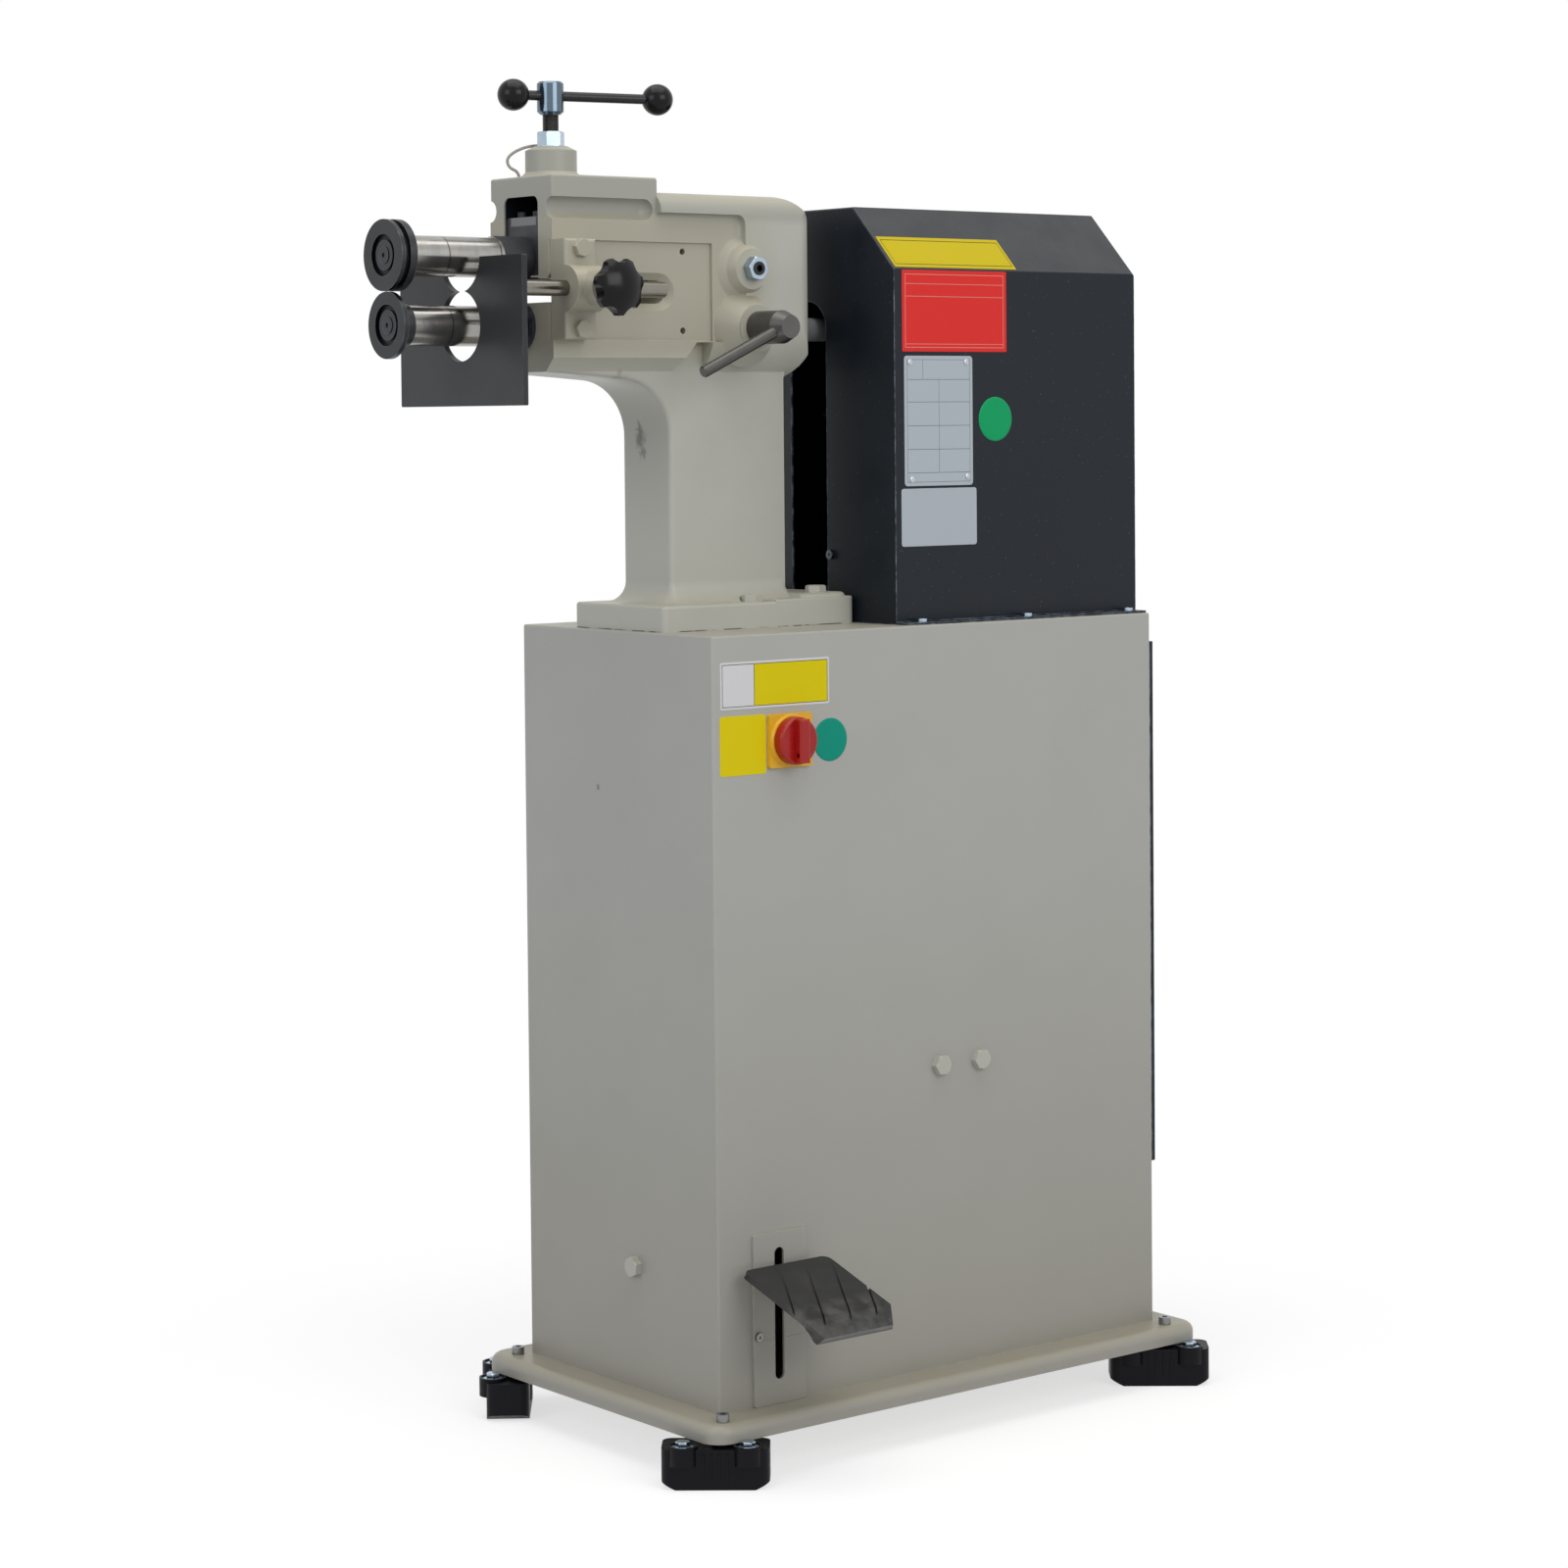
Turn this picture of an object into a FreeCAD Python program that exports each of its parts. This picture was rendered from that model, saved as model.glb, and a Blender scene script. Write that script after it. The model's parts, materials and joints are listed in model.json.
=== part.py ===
import FreeCAD, Part
import math
import os
import Sketcher

# A floor-standing motorised swaging machine.
# Everything is drawn in the machine's own frame: X along the rolls, which point to -X, Y across,
# Z up from the cabinet's lower edge, origin at the cabinet's centre. The datum values then move
# each finished piece, so that the row's origin is on the floor under the middle of its outline.

doc = FreeCAD.newDocument("SwagingMachine")
sheet = doc.addObject("Spreadsheet::Sheet", "Sizes")

SIZES = {
    # Datum
    "datum_x": 112.769,
    "datum_y": 27.369,
    "floor_below": 62,
    # Cabinet
    "cab_long": 600,
    "cab_deep": 326.8,
    "cab_tall": 774.6,
    "cab_wall": 2.5,
    "cab_corner": 3,
    "top_plate": 4,
    "tray_long": 670,
    "tray_deep": 406,
    "tray_tall": 18,
    "tray_wall": 3,
    "tray_corner": 24,
    "tray_edge": 10,
    "door_high": 744.5,
    "door_low": 172,
    "door_deep": 312,
    "door_out": 6,
    "door_sheet": 1.5,
    "rib_thick": 8,
    # Feet
    "foot_long": 107,
    "foot_wide": 45,
    "foot_top": 22,
    "foot_washer": 24,
    "foot_hole_off": 32,
    # Head casting
    "web_half": 41,
    "pad_half": 54,
    "body_half": 63,
    "head_front": -409,
    "head_rear": -85,
    "col_front": -257,
    "col_rear": -109,
    "base_front": -294,
    "base_rear": -43.5,
    "base_half": 77.5,
    "base_tall": 26.4,
    "base_step": 2,
    "base_mound": 6.4,
    "base_bolt_x": -168,
    "base_bolt_y": 60,
    "mound_bolt_x": -77,
    "mound_bolt_y": 52,
    "pad_low": 1051,
    "pad_step": 1067,
    "pad_high": 1197,
    "step_high": 1188.5,
    "cap_low": 1210,
    "cap_high": 1232,
    "cap_rear": -279,
    "back_high": 1218,
    "back_front": -215,
    "back_top_round": 44,
    "back_low_round": 48,
    "flat_end": -174,
    "throat_low": 1105.7,
    "throat_high": 1129.5,
    "throat_end": -276.5,
    "throat_flare": 10,
    "mouth_half": 29.5,
    "mouth_high": 1211.6,
    "box_half": 40,
    "box_front": -161,
    "box_rear": -101,
    "box_low": 1042,
    "box_high": 1196,
    # Drive line
    "upper_axis": 1150.5,
    "lower_axis": 1082.5,
    "shaft_dia": 25,
    "bush_dia": 32,
    "sleeve_dia": 40,
    "run_gap": 0.05,
    "move_gap": 0.3,
    "pivot_x": -171,
    "pivot_high": 1142,
    "pivot_dia": 14,
    "pivot_nut": 22,
    "pivot_end": 70,
    "coupling_front": 1.5,
    "coupling_dia": 50,
    "gear_module": 3.9,
    "gear_teeth": 17,
    "upper_roll_dia": 70,
    "upper_roll_face": -571.7,
    "upper_roll_back": -554,
    "lower_roll_dia": 65.6,
    "lower_roll_face": -568.6,
    "lower_roll_back": -548,
    "nose_dia": 43.5,
    "nose_end": -446,
    # Pressure screw
    "screw_x": -371.6,
    "arm_half": 29,
    "arm_high": 1191.5,
    "screw_dia": 16,
    "boss_dia": 52,
    "boss_high": 1262.5,
    "nut_flats": 24,
    "nut_high": 1277.7,
    "grip_dia": 27,
    "grip_low": 1297.5,
    "grip_high": 1327.6,
    "bar_high": 1313.5,
    "bar_dia": 10,
    "bar_turn": -10.75,
    "ball_dia": 32,
    "ball_flat": 70,
    "ball_near": 40.3,
    "ball_far": 119.1,
    # Shift lever
    "lever_x": -170,
    "lever_high": 1081.5,
    "lever_throw": 4,
    "lever_rod_dia": 12,
    "lever_long": 113,
    "lever_drop": 24.2,
    "hub_dia": 34,
    "hub_end": 131,
    # Gauge
    "gauge_rod_y": -75,
    "gauge_rod_high": 1118.5,
    "gauge_rod_dia": 16,
    "gauge_face": -483,
    "gauge_thick": 6,
    "gauge_half": 108,
    "gauge_low": 1003.5,
    "gauge_high": 1149.5,
    "gauge_notch": 35,
    "knob_x": -385,
    "knob_dia": 57,
    "cord_dia": 3,
    # Motor cover
    "cover_front": -42,
    "cover_rear": 300,
    "cover_half": 141,
    "cover_high": 1208.5,
    "cover_slope": 65,
    "cover_sheet": 2,
    "cover_lip": 18,
    # Pedal
    "pedal_x": -224.5,
    "pedal_half": 54,
    "pedal_pivot_y": -26.4,
    "pedal_pivot_high": 125.6,
    # Switch
    "switch_x": -204.7,
    "switch_high": 666.9,
    "switch_plate": 54,
}

for row, alias in enumerate(SIZES, 1):
    sheet.set("A%d" % row, alias)
    sheet.set("B%d" % row, str(SIZES[alias]))
    sheet.setAlias("B%d" % row, alias)
doc.recompute()


class Size:
    """A length together with the sheet expression that gives it."""

    def __init__(self, value, text):
        self.value = float(value)
        self.text = text

    def __float__(self):
        return self.value

    def __neg__(self):
        return Size(-self.value, "(0 - %s)" % self.text)

    def __add__(self, other):
        other = size(other)
        return Size(self.value + other.value, "(%s + %s)" % (self.text, other.text))

    def __radd__(self, other):
        return size(other) + self

    def __sub__(self, other):
        other = size(other)
        return Size(self.value - other.value, "(%s - %s)" % (self.text, other.text))

    def __rsub__(self, other):
        return size(other) - self

    def __mul__(self, other):
        other = size(other)
        return Size(self.value * other.value, "(%s * %s)" % (self.text, other.text))

    def __rmul__(self, other):
        return size(other) * self

    def __truediv__(self, other):
        other = size(other)
        return Size(self.value / other.value, "(%s / %s)" % (self.text, other.text))


def size(number):
    if isinstance(number, Size):
        return number
    text = repr(round(float(number), 6))
    return Size(number, "(0 - %s)" % text[1:] if text.startswith("-") else text)


class Sheet:
    """Gives each named size as a Size."""

    def __getattr__(self, alias):
        return Size(SIZES[alias], "Sizes." + alias)


S = Sheet()
counter = [0]
nodes = []


def new(kind, hint):
    counter[0] += 1
    return doc.addObject(kind, "%s%03d" % (hint, counter[0]))


def bind(item, prop, amount):
    item.setExpression(prop, size(amount).text)


def place(item, x, y, z):
    bind(item, "Placement.Base.x", x)
    bind(item, "Placement.Base.y", y)
    bind(item, "Placement.Base.z", z)


AXIS_TURN = {
    "x": FreeCAD.Rotation(FreeCAD.Vector(0, 1, 0), 90),
    "y": FreeCAD.Rotation(FreeCAD.Vector(1, 0, 0), -90),
    "z": FreeCAD.Rotation(),
}


def block(x0, x1, y0, y1, z0, z1):
    item = new("Part::Box", "Block")
    bind(item, "Length", size(x1) - x0)
    bind(item, "Width", size(y1) - y0)
    bind(item, "Height", size(z1) - z0)
    place(item, x0, y0, z0)
    return item


def along(axis, start, across):
    """The corner of a round piece: start along its axis, the other two coordinates in order."""
    if axis == "x":
        return start, across[0], across[1]
    if axis == "y":
        return across[0], start, across[1]
    return across[0], across[1], start


def rod(axis, radius, start, end, across):
    item = new("Part::Cylinder", "Rod")
    item.Placement = FreeCAD.Placement(FreeCAD.Vector(), AXIS_TURN[axis])
    bind(item, "Radius", radius)
    bind(item, "Height", size(end) - start)
    place(item, *along(axis, start, across))
    return item


def cone(axis, radius_start, radius_end, start, end, across):
    item = new("Part::Cone", "Cone")
    item.Placement = FreeCAD.Placement(FreeCAD.Vector(), AXIS_TURN[axis])
    bind(item, "Radius1", radius_start)
    bind(item, "Radius2", radius_end)
    bind(item, "Height", size(end) - start)
    place(item, *along(axis, start, across))
    return item


def ball(radius, x, y, z):
    item = new("Part::Sphere", "Ball")
    bind(item, "Radius", radius)
    place(item, x, y, z)
    return item


def hexagon(axis, flats, start, end, across, turn=0):
    item = new("Part::Prism", "Hexagon")
    spin = FreeCAD.Rotation(FreeCAD.Vector(0, 0, 1), turn)
    item.Placement = FreeCAD.Placement(FreeCAD.Vector(), AXIS_TURN[axis] * spin)
    item.Polygon = 6
    bind(item, "Circumradius", size(flats) / math.sqrt(3))
    bind(item, "Height", size(end) - start)
    place(item, *along(axis, start, across))
    return item


PLANE_TURN = {
    "xy": FreeCAD.Rotation(),
    "xz": FreeCAD.Rotation(FreeCAD.Vector(1, 0, 0), 90),
    "yz": FreeCAD.Rotation(FreeCAD.Vector(1, 1, 1), 120),
}
PLANE_NORMAL = {
    "xy": FreeCAD.Vector(0, 0, 1),
    "xz": FreeCAD.Vector(0, 1, 0),
    "yz": FreeCAD.Vector(1, 0, 0),
}


def outline(plane, corners):
    """A closed sketch whose corners are held at sheet sizes."""
    sketch = new("Sketcher::SketchObject", "Outline")
    sketch.Placement = FreeCAD.Placement(FreeCAD.Vector(), PLANE_TURN[plane])
    corners = [(size(a), size(b)) for a, b in corners]
    count = len(corners)
    for i in range(count):
        a, b = corners[i], corners[(i + 1) % count]
        start = FreeCAD.Vector(float(a[0]), float(a[1]), 0)
        end = FreeCAD.Vector(float(b[0]), float(b[1]), 0)
        sketch.addGeometry(Part.LineSegment(start, end), False)
    for i in range(count):
        sketch.addConstraint(Sketcher.Constraint("Coincident", i, 2, (i + 1) % count, 1))
    for i, corner in enumerate(corners):
        for kind, amount in zip(("DistanceX", "DistanceY"), corner):
            held = sketch.addConstraint(Sketcher.Constraint(kind, i, 1, float(amount)))
            sketch.setExpression("Constraints[%d]" % held, amount.text)
    return sketch


def slab(plane, corners, low, high):
    """An outline drawn out from low to high, square to its plane."""
    item = new("Part::Extrusion", "Slab")
    item.Base = outline(plane, corners)
    item.DirMode = "Custom"
    item.Dir = PLANE_NORMAL[plane]
    item.Solid = True
    bind(item, "LengthFwd", size(high) - low)
    axis = {"xy": "z", "xz": "y", "yz": "x"}[plane]
    bind(item, "Placement.Base." + axis, low)
    return item


def turned(plane, corners, centre, axis):
    """An outline turned a full round about an axis through centre."""
    item = new("Part::Revolution", "Turned")
    item.Source = outline(plane, corners)
    item.Axis = axis
    item.Base = centre
    item.Angle = 360
    item.Solid = True
    return item


def joined(*pieces):
    item = new("Part::MultiFuse", "Joined")
    item.Shapes = list(pieces)
    item.Refine = True
    return item


def cut(base, *tools):
    item = new("Part::Cut", "Cut")
    item.Base = base
    item.Tool = tools[0] if len(tools) == 1 else gathered(*tools)
    item.Refine = True
    return item


def shared(base, tool):
    """What two solids have in common."""
    item = new("Part::Common", "Shared")
    item.Base = base
    item.Tool = tool
    return item


def gathered(*pieces):
    item = new("Part::Compound", "Set")
    item.Links = list(pieces)
    return item


def picked(item, wanted):
    """The numbers of the edges whose middle point and direction pass a test."""
    doc.recompute()
    chosen = []
    for number, edge in enumerate(item.Shape.Edges, 1):
        middle = edge.CenterOfMass
        box = edge.BoundBox
        if wanted(middle, box, edge):
            chosen.append(number)
    if not chosen:
        raise ValueError("no edge fits the test on " + item.Name)
    return chosen


def rounded(item, radius, wanted):
    chosen = picked(item, wanted)
    fillet = new("Part::Fillet", "Fillet")
    fillet.Base = item
    fillet.Edges = [(number, float(radius), float(radius)) for number in chosen]
    return fillet


def bevelled(item, amount, wanted):
    chosen = picked(item, wanted)
    chamfer = new("Part::Chamfer", "Chamfer")
    chamfer.Base = item
    chamfer.Edges = [(number, float(amount), float(amount)) for number in chosen]
    return chamfer


def runs(axis):
    """A test for straight edges along one axis."""
    def test(middle, box, edge):
        spans = {"x": box.XLength, "y": box.YLength, "z": box.ZLength}
        others = [spans[a] for a in spans if a != axis]
        return spans[axis] > 0.01 and max(others) < 0.01
    return test


def near(value, target, slack=0.05):
    return abs(value - float(target)) < slack


def moved(item, x=0, y=0, z=0, spin=None, about=(0, 0, 0)):
    """A compound of one piece, turned about a point and shifted."""
    holder = gathered(item)
    if spin is not None:
        turn = FreeCAD.Rotation(spin[0], float(spin[1]))
        centre = FreeCAD.Vector(*[float(a) for a in about])
        placed = FreeCAD.Placement(FreeCAD.Vector(), turn, centre)
        holder.Placement = placed
        base = placed.Base
        place(holder, size(base.x) + x, size(base.y) + y, size(base.z) + z)
    else:
        place(holder, x, y, z)
    return holder


def node(name, item):
    """Names a finished piece and moves it from the machine's frame to the row's."""
    if item.TypeId not in ("Part::Cut", "Part::MultiFuse", "Part::Fillet", "Part::Chamfer"):
        item = gathered(item)
    item.Label = name
    place(item, S.datum_x, S.datum_y, S.floor_below)
    nodes.append(item)


X_AXIS = FreeCAD.Vector(1, 0, 0)
Y_AXIS = FreeCAD.Vector(0, 1, 0)
Z_AXIS = FreeCAD.Vector(0, 0, 1)


def sleeve(axis, outer, inner, start, end, across):
    drill = rod(axis, inner, size(start) - 1, size(end) + 1, across)
    return cut(rod(axis, outer, start, end, across), drill)


def socket_screw(axis, shank, head, head_tall, start, seat, across, flats, up=1):
    """A cylinder-head screw: its shank runs from start to seat and its head stands beyond."""
    top = size(seat) + up * size(head_tall)
    low, high = (start, seat) if up > 0 else (seat, start)
    stem = rod(axis, shank, low, high, across)
    low, high = (seat, top) if up > 0 else (top, seat)
    cap = rod(axis, head, low, high, across)
    deep = size(head_tall) * 0.5
    low, high = (top - deep, top + 1) if up > 0 else (top - 1, top + deep)
    return cut(joined(stem, cap), hexagon(axis, flats, low, high, across))


def hex_bolt(axis, shank, flats, head_tall, start, seat, across, up=1, turn=0):
    """A hexagon-head bolt whose head has a turned-down top edge."""
    top = size(seat) + up * size(head_tall)
    low, high = (start, seat) if up > 0 else (seat, start)
    stem = rod(axis, shank, low, high, across)
    low, high = (seat, top) if up > 0 else (top, seat)
    head = hexagon(axis, flats, low, high, across, turn)
    wide = size(flats) * 0.62
    narrow = size(flats) * 0.5
    if up > 0:
        crown = cone(axis, wide + head_tall, narrow, low, high, across)
    else:
        crown = cone(axis, narrow, wide + head_tall, low, high, across)
    return joined(stem, shared(head, crown))


def mirrored(maker):
    """Makes the same piece on both sides of the machine's middle plane."""
    return [maker(side) for side in (-1, 1)]


# Base tray
tray = block(-S.tray_long / 2, S.tray_long / 2, -S.tray_deep / 2, S.tray_deep / 2, -S.tray_tall, 0)
tray = rounded(tray, S.tray_corner, runs("z"))
tray = rounded(tray, S.tray_edge, lambda m, b, e: near(b.ZMin, 0) and near(b.ZMax, 0))
inner_long = S.tray_long / 2 - S.tray_wall
inner_deep = S.tray_deep / 2 - S.tray_wall
tray_hollow = block(-inner_long, inner_long, -inner_deep, inner_deep, -S.tray_tall - 1, -S.tray_wall)
tray_hollow = rounded(tray_hollow, S.tray_corner - S.tray_wall, runs("z"))
tray_hollow = rounded(tray_hollow, S.tray_edge - S.tray_wall,
                      lambda m, b, e: near(b.ZMin, -S.tray_wall) and near(b.ZMax, -S.tray_wall))

# Feet: centre, turn, the tray screw's place in the foot, and the side its floor bolts are on
tray_end = S.tray_long / 2
tray_side = S.tray_deep / 2
FEET = [
    (18 - tray_end, 23 - tray_side, -39.7, 7, 0, -1),
    (tray_end - 45.4, 21.5 - tray_side, -39.7, 7, 2, -1),
    (21 - tray_end, tray_side - 19, 53, -12, -10, 1),
    (tray_end - 35, tray_side - 23, 53, 10, -4, 1),
]
foot_half = S.foot_long / 2


def foot_spot(foot, x, y):
    turn = math.radians(foot[2])
    return (foot[0] + x * math.cos(turn) - y * math.sin(turn),
            foot[1] + x * math.sin(turn) + y * math.cos(turn))


def set_on_foot(item, foot):
    return moved(item, foot[0], foot[1], 0, (Z_AXIS, foot[2]))


def make_foot(foot):
    side = foot[5]
    body = slab("xz", [(-foot_half, -S.foot_top), (-foot_half, 7 - S.floor_below),
                       (14 - foot_half, -S.floor_below), (foot_half - 14, -S.floor_below),
                       (foot_half, 7 - S.floor_below), (foot_half, -S.foot_top)],
                -S.foot_wide / 2, S.foot_wide / 2)
    body = rounded(body, 10, runs("z"))
    post = rod("z", 11, -S.foot_top - 4, -S.tray_wall, (foot[3], foot[4]))
    bosses = [rod("z", 14.5, -S.foot_top - 16, -S.tray_tall - 0.6, (x, side * 16.0))
              for x in (-S.foot_hole_off, S.foot_hole_off)]
    ribs = [block(x - 1.2, x + 1.2, -S.foot_wide / 2 - 1, S.foot_wide / 2 + 1, 12 - S.floor_below,
                  -S.foot_top - 4) for x in (-12.0, -4.0, 4.0, 12.0)]
    seats = [rod("z", S.foot_washer / 2 + 0.2, -S.foot_top, -S.tray_tall, (x, side * 16.0))
             for x in (-S.foot_hole_off, S.foot_hole_off)]
    drills = [rod("z", 4.5, -S.floor_below - 1, -S.foot_top + 1, (x, side * 16.0))
              for x in (-S.foot_hole_off, S.foot_hole_off)]
    tap = rod("z", 4.05, -42, 0, (foot[3], foot[4]))
    return set_on_foot(cut(joined(body, post, *(bosses + ribs)), tap, *(seats + drills)), foot)


node("feet", gathered(*[make_foot(foot) for foot in FEET]))


def foot_fixing(foot, x):
    """A washer and bolt that hold a foot to the tray, standing in the foot's own frame."""
    spot = (x, foot[5] * 16.0)
    return joined(sleeve("z", S.foot_washer / 2, 4, -S.foot_top, 2 - S.foot_top, spot),
                  hex_bolt("z", 4, 13, 5.3, 8 - S.floor_below, 2 - S.foot_top, spot))


node("foot_bolts", gathered(*[
    set_on_foot(gathered(foot_fixing(foot, -S.foot_hole_off), foot_fixing(foot, S.foot_hole_off)),
                foot) for foot in FEET]))
foot_screw_spots = [foot_spot(foot, foot[3], foot[4]) for foot in FEET]
node("base_tray", cut(tray, tray_hollow, *[rod("z", 4.4, -S.tray_wall - 1, 1, spot)
                                           for spot in foot_screw_spots]))

# Cabinet: four walls with their openings, and the top plate with its stiffener
half_long = S.cab_long / 2
half_deep = S.cab_deep / 2
PLATE_BOLTS = [(S.base_bolt_x, -S.base_bolt_y), (S.base_bolt_x, S.base_bolt_y)]
MOUND_BOLTS = [(S.mound_bolt_x, -S.mound_bolt_y), (S.mound_bolt_x, S.mound_bolt_y)]
COLUMN_BOLTS = PLATE_BOLTS + MOUND_BOLTS
flange_y = S.cover_half + S.cover_lip / 2
COVER_SCREWS = [(x, y) for x in (S.cover_front + 27, 132, S.cover_rear - 21) for y in (-flange_y, flange_y)]
SIDE_BOLTS = [(-6.6, 316.8), (47.8, 316.8)]
GLAND = (110, 110)
shell = block(-half_long, half_long, -half_deep, half_deep, 0, S.cab_tall)
shell = rounded(shell, S.cab_corner, runs("z"))
shell = rounded(shell, 2, lambda m, b, e: near(b.ZMin, S.cab_tall))
inner_x = half_long - S.cab_wall
inner_y = half_deep - S.cab_wall
hollow = block(-inner_x, inner_x, -inner_y, inner_y, -1, S.cab_tall + 1)
doorway = block(half_long - 4, half_long + 1, -138, 138, S.door_low + 20, S.door_high - 20)
window = block(S.pedal_x - 21, S.pedal_x + 21, -half_deep - 1, 4 - half_deep, 14, 168)
side_holes = [rod("y", 6.1, -half_deep - 1, 4 - half_deep, spot) for spot in SIDE_BOLTS]
node("cabinet_shell", cut(
    shell, hollow, doorway, window,
    rod("y", 11, -half_deep - 1, 4 - half_deep, (S.switch_x, S.switch_high)),
    rod("x", 8.1, -half_long - 1, 4 - half_long, (S.pedal_pivot_y, S.pedal_pivot_high)),
    rod("x", 10.05, half_long - 4, half_long + 1, GLAND), *side_holes))
top_under = S.cab_tall - S.top_plate
top = block(-inner_x, inner_x, -inner_y, inner_y, top_under, S.cab_tall)
stiffener = block(-290, 290, -S.web_half - 60, S.web_half + 60, top_under - S.rib_thick, top_under)
rib_low = top_under - S.rib_thick
node("cabinet_top", cut(
    joined(top, stiffener),
    *([rod("z", 6.05, rib_low - 1, S.cab_tall + 1, spot) for spot in COLUMN_BOLTS]
      + [rod("z", 2.55, S.cab_tall - 5, S.cab_tall + 1, spot) for spot in COVER_SCREWS])))

# Rear door with louvre slots
door = block(half_long, half_long + S.door_out, -S.door_deep / 2, S.door_deep / 2,
             S.door_low, S.door_high)
door = rounded(door, 4, runs("x"))
door_hollow = block(half_long - 1, half_long + S.door_out - S.door_sheet,
                    S.door_sheet - S.door_deep / 2, S.door_deep / 2 - S.door_sheet,
                    S.door_low + S.door_sheet, S.door_high - S.door_sheet)
louvres = [block(half_long, half_long + 10, y - 45, y + 45, z, z + 6)
           for y in (-65, 65) for z in (240, 262, 284, 306, 328, 350)]
DOOR_SCREWS = [(y, z) for y in (-148, 148) for z in (186, 458, 730)]
door_lugs = [rod("x", 5, half_long, half_long + S.door_out - S.door_sheet, spot)
             for spot in DOOR_SCREWS]
node("rear_door", cut(joined(cut(door, door_hollow), *door_lugs),
                      *(louvres + [rod("x", 2.6, half_long - 1, half_long + 9, spot)
                                   for spot in DOOR_SCREWS])))

# Pedal slot plate
plate_front = -half_deep - 3
slot_plate = block(S.pedal_x - 32.5, S.pedal_x + 32.5, plate_front, -half_deep, 0.3, 174)
slot_plate = rounded(slot_plate, 2, runs("y"))
slot_tool = rounded(block(S.pedal_x - 6, S.pedal_x + 6, plate_front - 1, 1 - half_deep, 24.4, 158),
                    5.9, runs("y"))
seam = block(S.pedal_x - 40, S.pedal_x + 40, plate_front - 1, plate_front + 0.4, 66, 66.6)
PLATE_SCREWS = [(S.pedal_x - 27, 71.0), (S.pedal_x + 27, 110.0)]
node("slot_plate", cut(slot_plate, slot_tool, seam, *[
    rod("y", 2.6, plate_front - 1, 1 - half_deep, spot) for spot in PLATE_SCREWS]))

# Cable gland on the rear, with room for the mains lead
gland_shell = joined(hexagon("x", 24, half_long, half_long + 6, GLAND),
                     rod("x", 11, half_long + 6, half_long + 22, GLAND),
                     rod("x", 10, half_long - 14, half_long, GLAND))
gland_nut = hexagon("x", 24, half_long - S.cab_wall - 5, half_long - S.cab_wall, GLAND)
node("cable_gland", cut(joined(gland_shell, gland_nut),
                        rod("x", 5, half_long - 20, half_long + 30, GLAND)))

# Cord from the screw's nut down into the cap: steps to the left of the screw, back from it, and height
TOWARDS = (0.624, 0.781)
CORD_DROP = 31.5
CORD_SPOTS = [(9, 13, 1264.9), (22, 5, 1265.4), (44, 0, 1254.5), (43.5, 0, 1243), (CORD_DROP, 0, 1237.5),
              (CORD_DROP, 0, 1227)]
cord_hole = (S.screw_x - TOWARDS[1] * CORD_DROP, size(TOWARDS[0] * CORD_DROP))

# Head casting: column and web, machined front, rounded rear body, cap, bosses, then the cavities
cab_top = S.cab_tall
base_top = S.cab_tall + S.base_tall
mound_top = base_top + S.base_mound
column_mid = 0.5 * (float(base_top) + float(S.pad_low))
web = slab("xz", [(S.col_front, base_top - 1), (S.col_front, S.pad_low - 25.4),
                  (S.head_front, S.pad_low - 14), (S.head_front, S.step_high),
                  (S.head_rear - 12, S.step_high), (S.head_rear - 12, S.pad_step + 3),
                  (S.col_rear, S.pad_low - 21), (S.col_rear, base_top - 1)], -S.web_half, S.web_half)
web = rounded(web, 58, lambda m, b, e: runs("y")(m, b, e) and near(m.x, S.col_front)
              and m.z > column_mid)
web = rounded(web, 5, lambda m, b, e: runs("z")(m, b, e) and near(abs(m.y), S.web_half)
              and near(m.x, S.col_front))
front_low = slab("xz", [(S.head_front, S.pad_low), (S.col_front + 12, S.pad_low),
                        (S.col_front + 26, S.pad_step), (S.pivot_x, S.pad_step),
                        (S.pivot_x, S.step_high), (S.head_front, S.step_high)],
                 -S.pad_half, S.pad_half)
undercut = slab("yz", [(-S.pad_half, S.pad_low), (-S.web_half, S.pad_low - 13.5),
                       (S.web_half, S.pad_low - 13.5), (S.pad_half, S.pad_low)],
                S.head_front, S.col_front + 5)
neck = block(S.head_front, S.cap_rear, -S.pad_half, S.pad_half, S.step_high, S.cap_low)


# Rear body: a rounded side outline, a half-round underside about the shafts, and soft rear corners
barrel_mid = S.lower_axis + 2.5
barrel_low = barrel_mid - S.body_half
side_outline = block(S.back_front, S.head_rear, -S.body_half - 5, S.body_half + 5, barrel_low, S.back_high)
side_outline = rounded(side_outline, S.back_top_round,
                       lambda m, b, e: near(m.x, S.head_rear) and near(m.z, S.back_high))
side_outline = rounded(side_outline, S.back_low_round,
                       lambda m, b, e: near(m.x, S.head_rear) and near(m.z, barrel_low))
end_outline = rounded(block(S.back_front - 5, S.head_rear + 5, -S.body_half, S.body_half,
                            barrel_mid, S.back_high), 22,
                      lambda m, b, e: runs("x")(m, b, e) and near(m.z, S.back_high))
end_outline = joined(end_outline, rod("x", S.body_half, S.back_front - 5, S.head_rear + 5,
                                      (0, barrel_mid)))
plan_outline = rounded(block(S.back_front - 5, S.head_rear, -S.body_half, S.body_half,
                             barrel_low - 5, S.back_high + 5), 16,
                       lambda m, b, e: runs("z")(m, b, e) and near(m.x, S.head_rear))
rear_front = rounded(block(S.cap_rear - 2, S.back_front + 1, -S.body_half, S.body_half,
                           S.pad_step, S.back_high), 22,
                     lambda m, b, e: runs("x")(m, b, e) and near(m.z, S.back_high))


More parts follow.
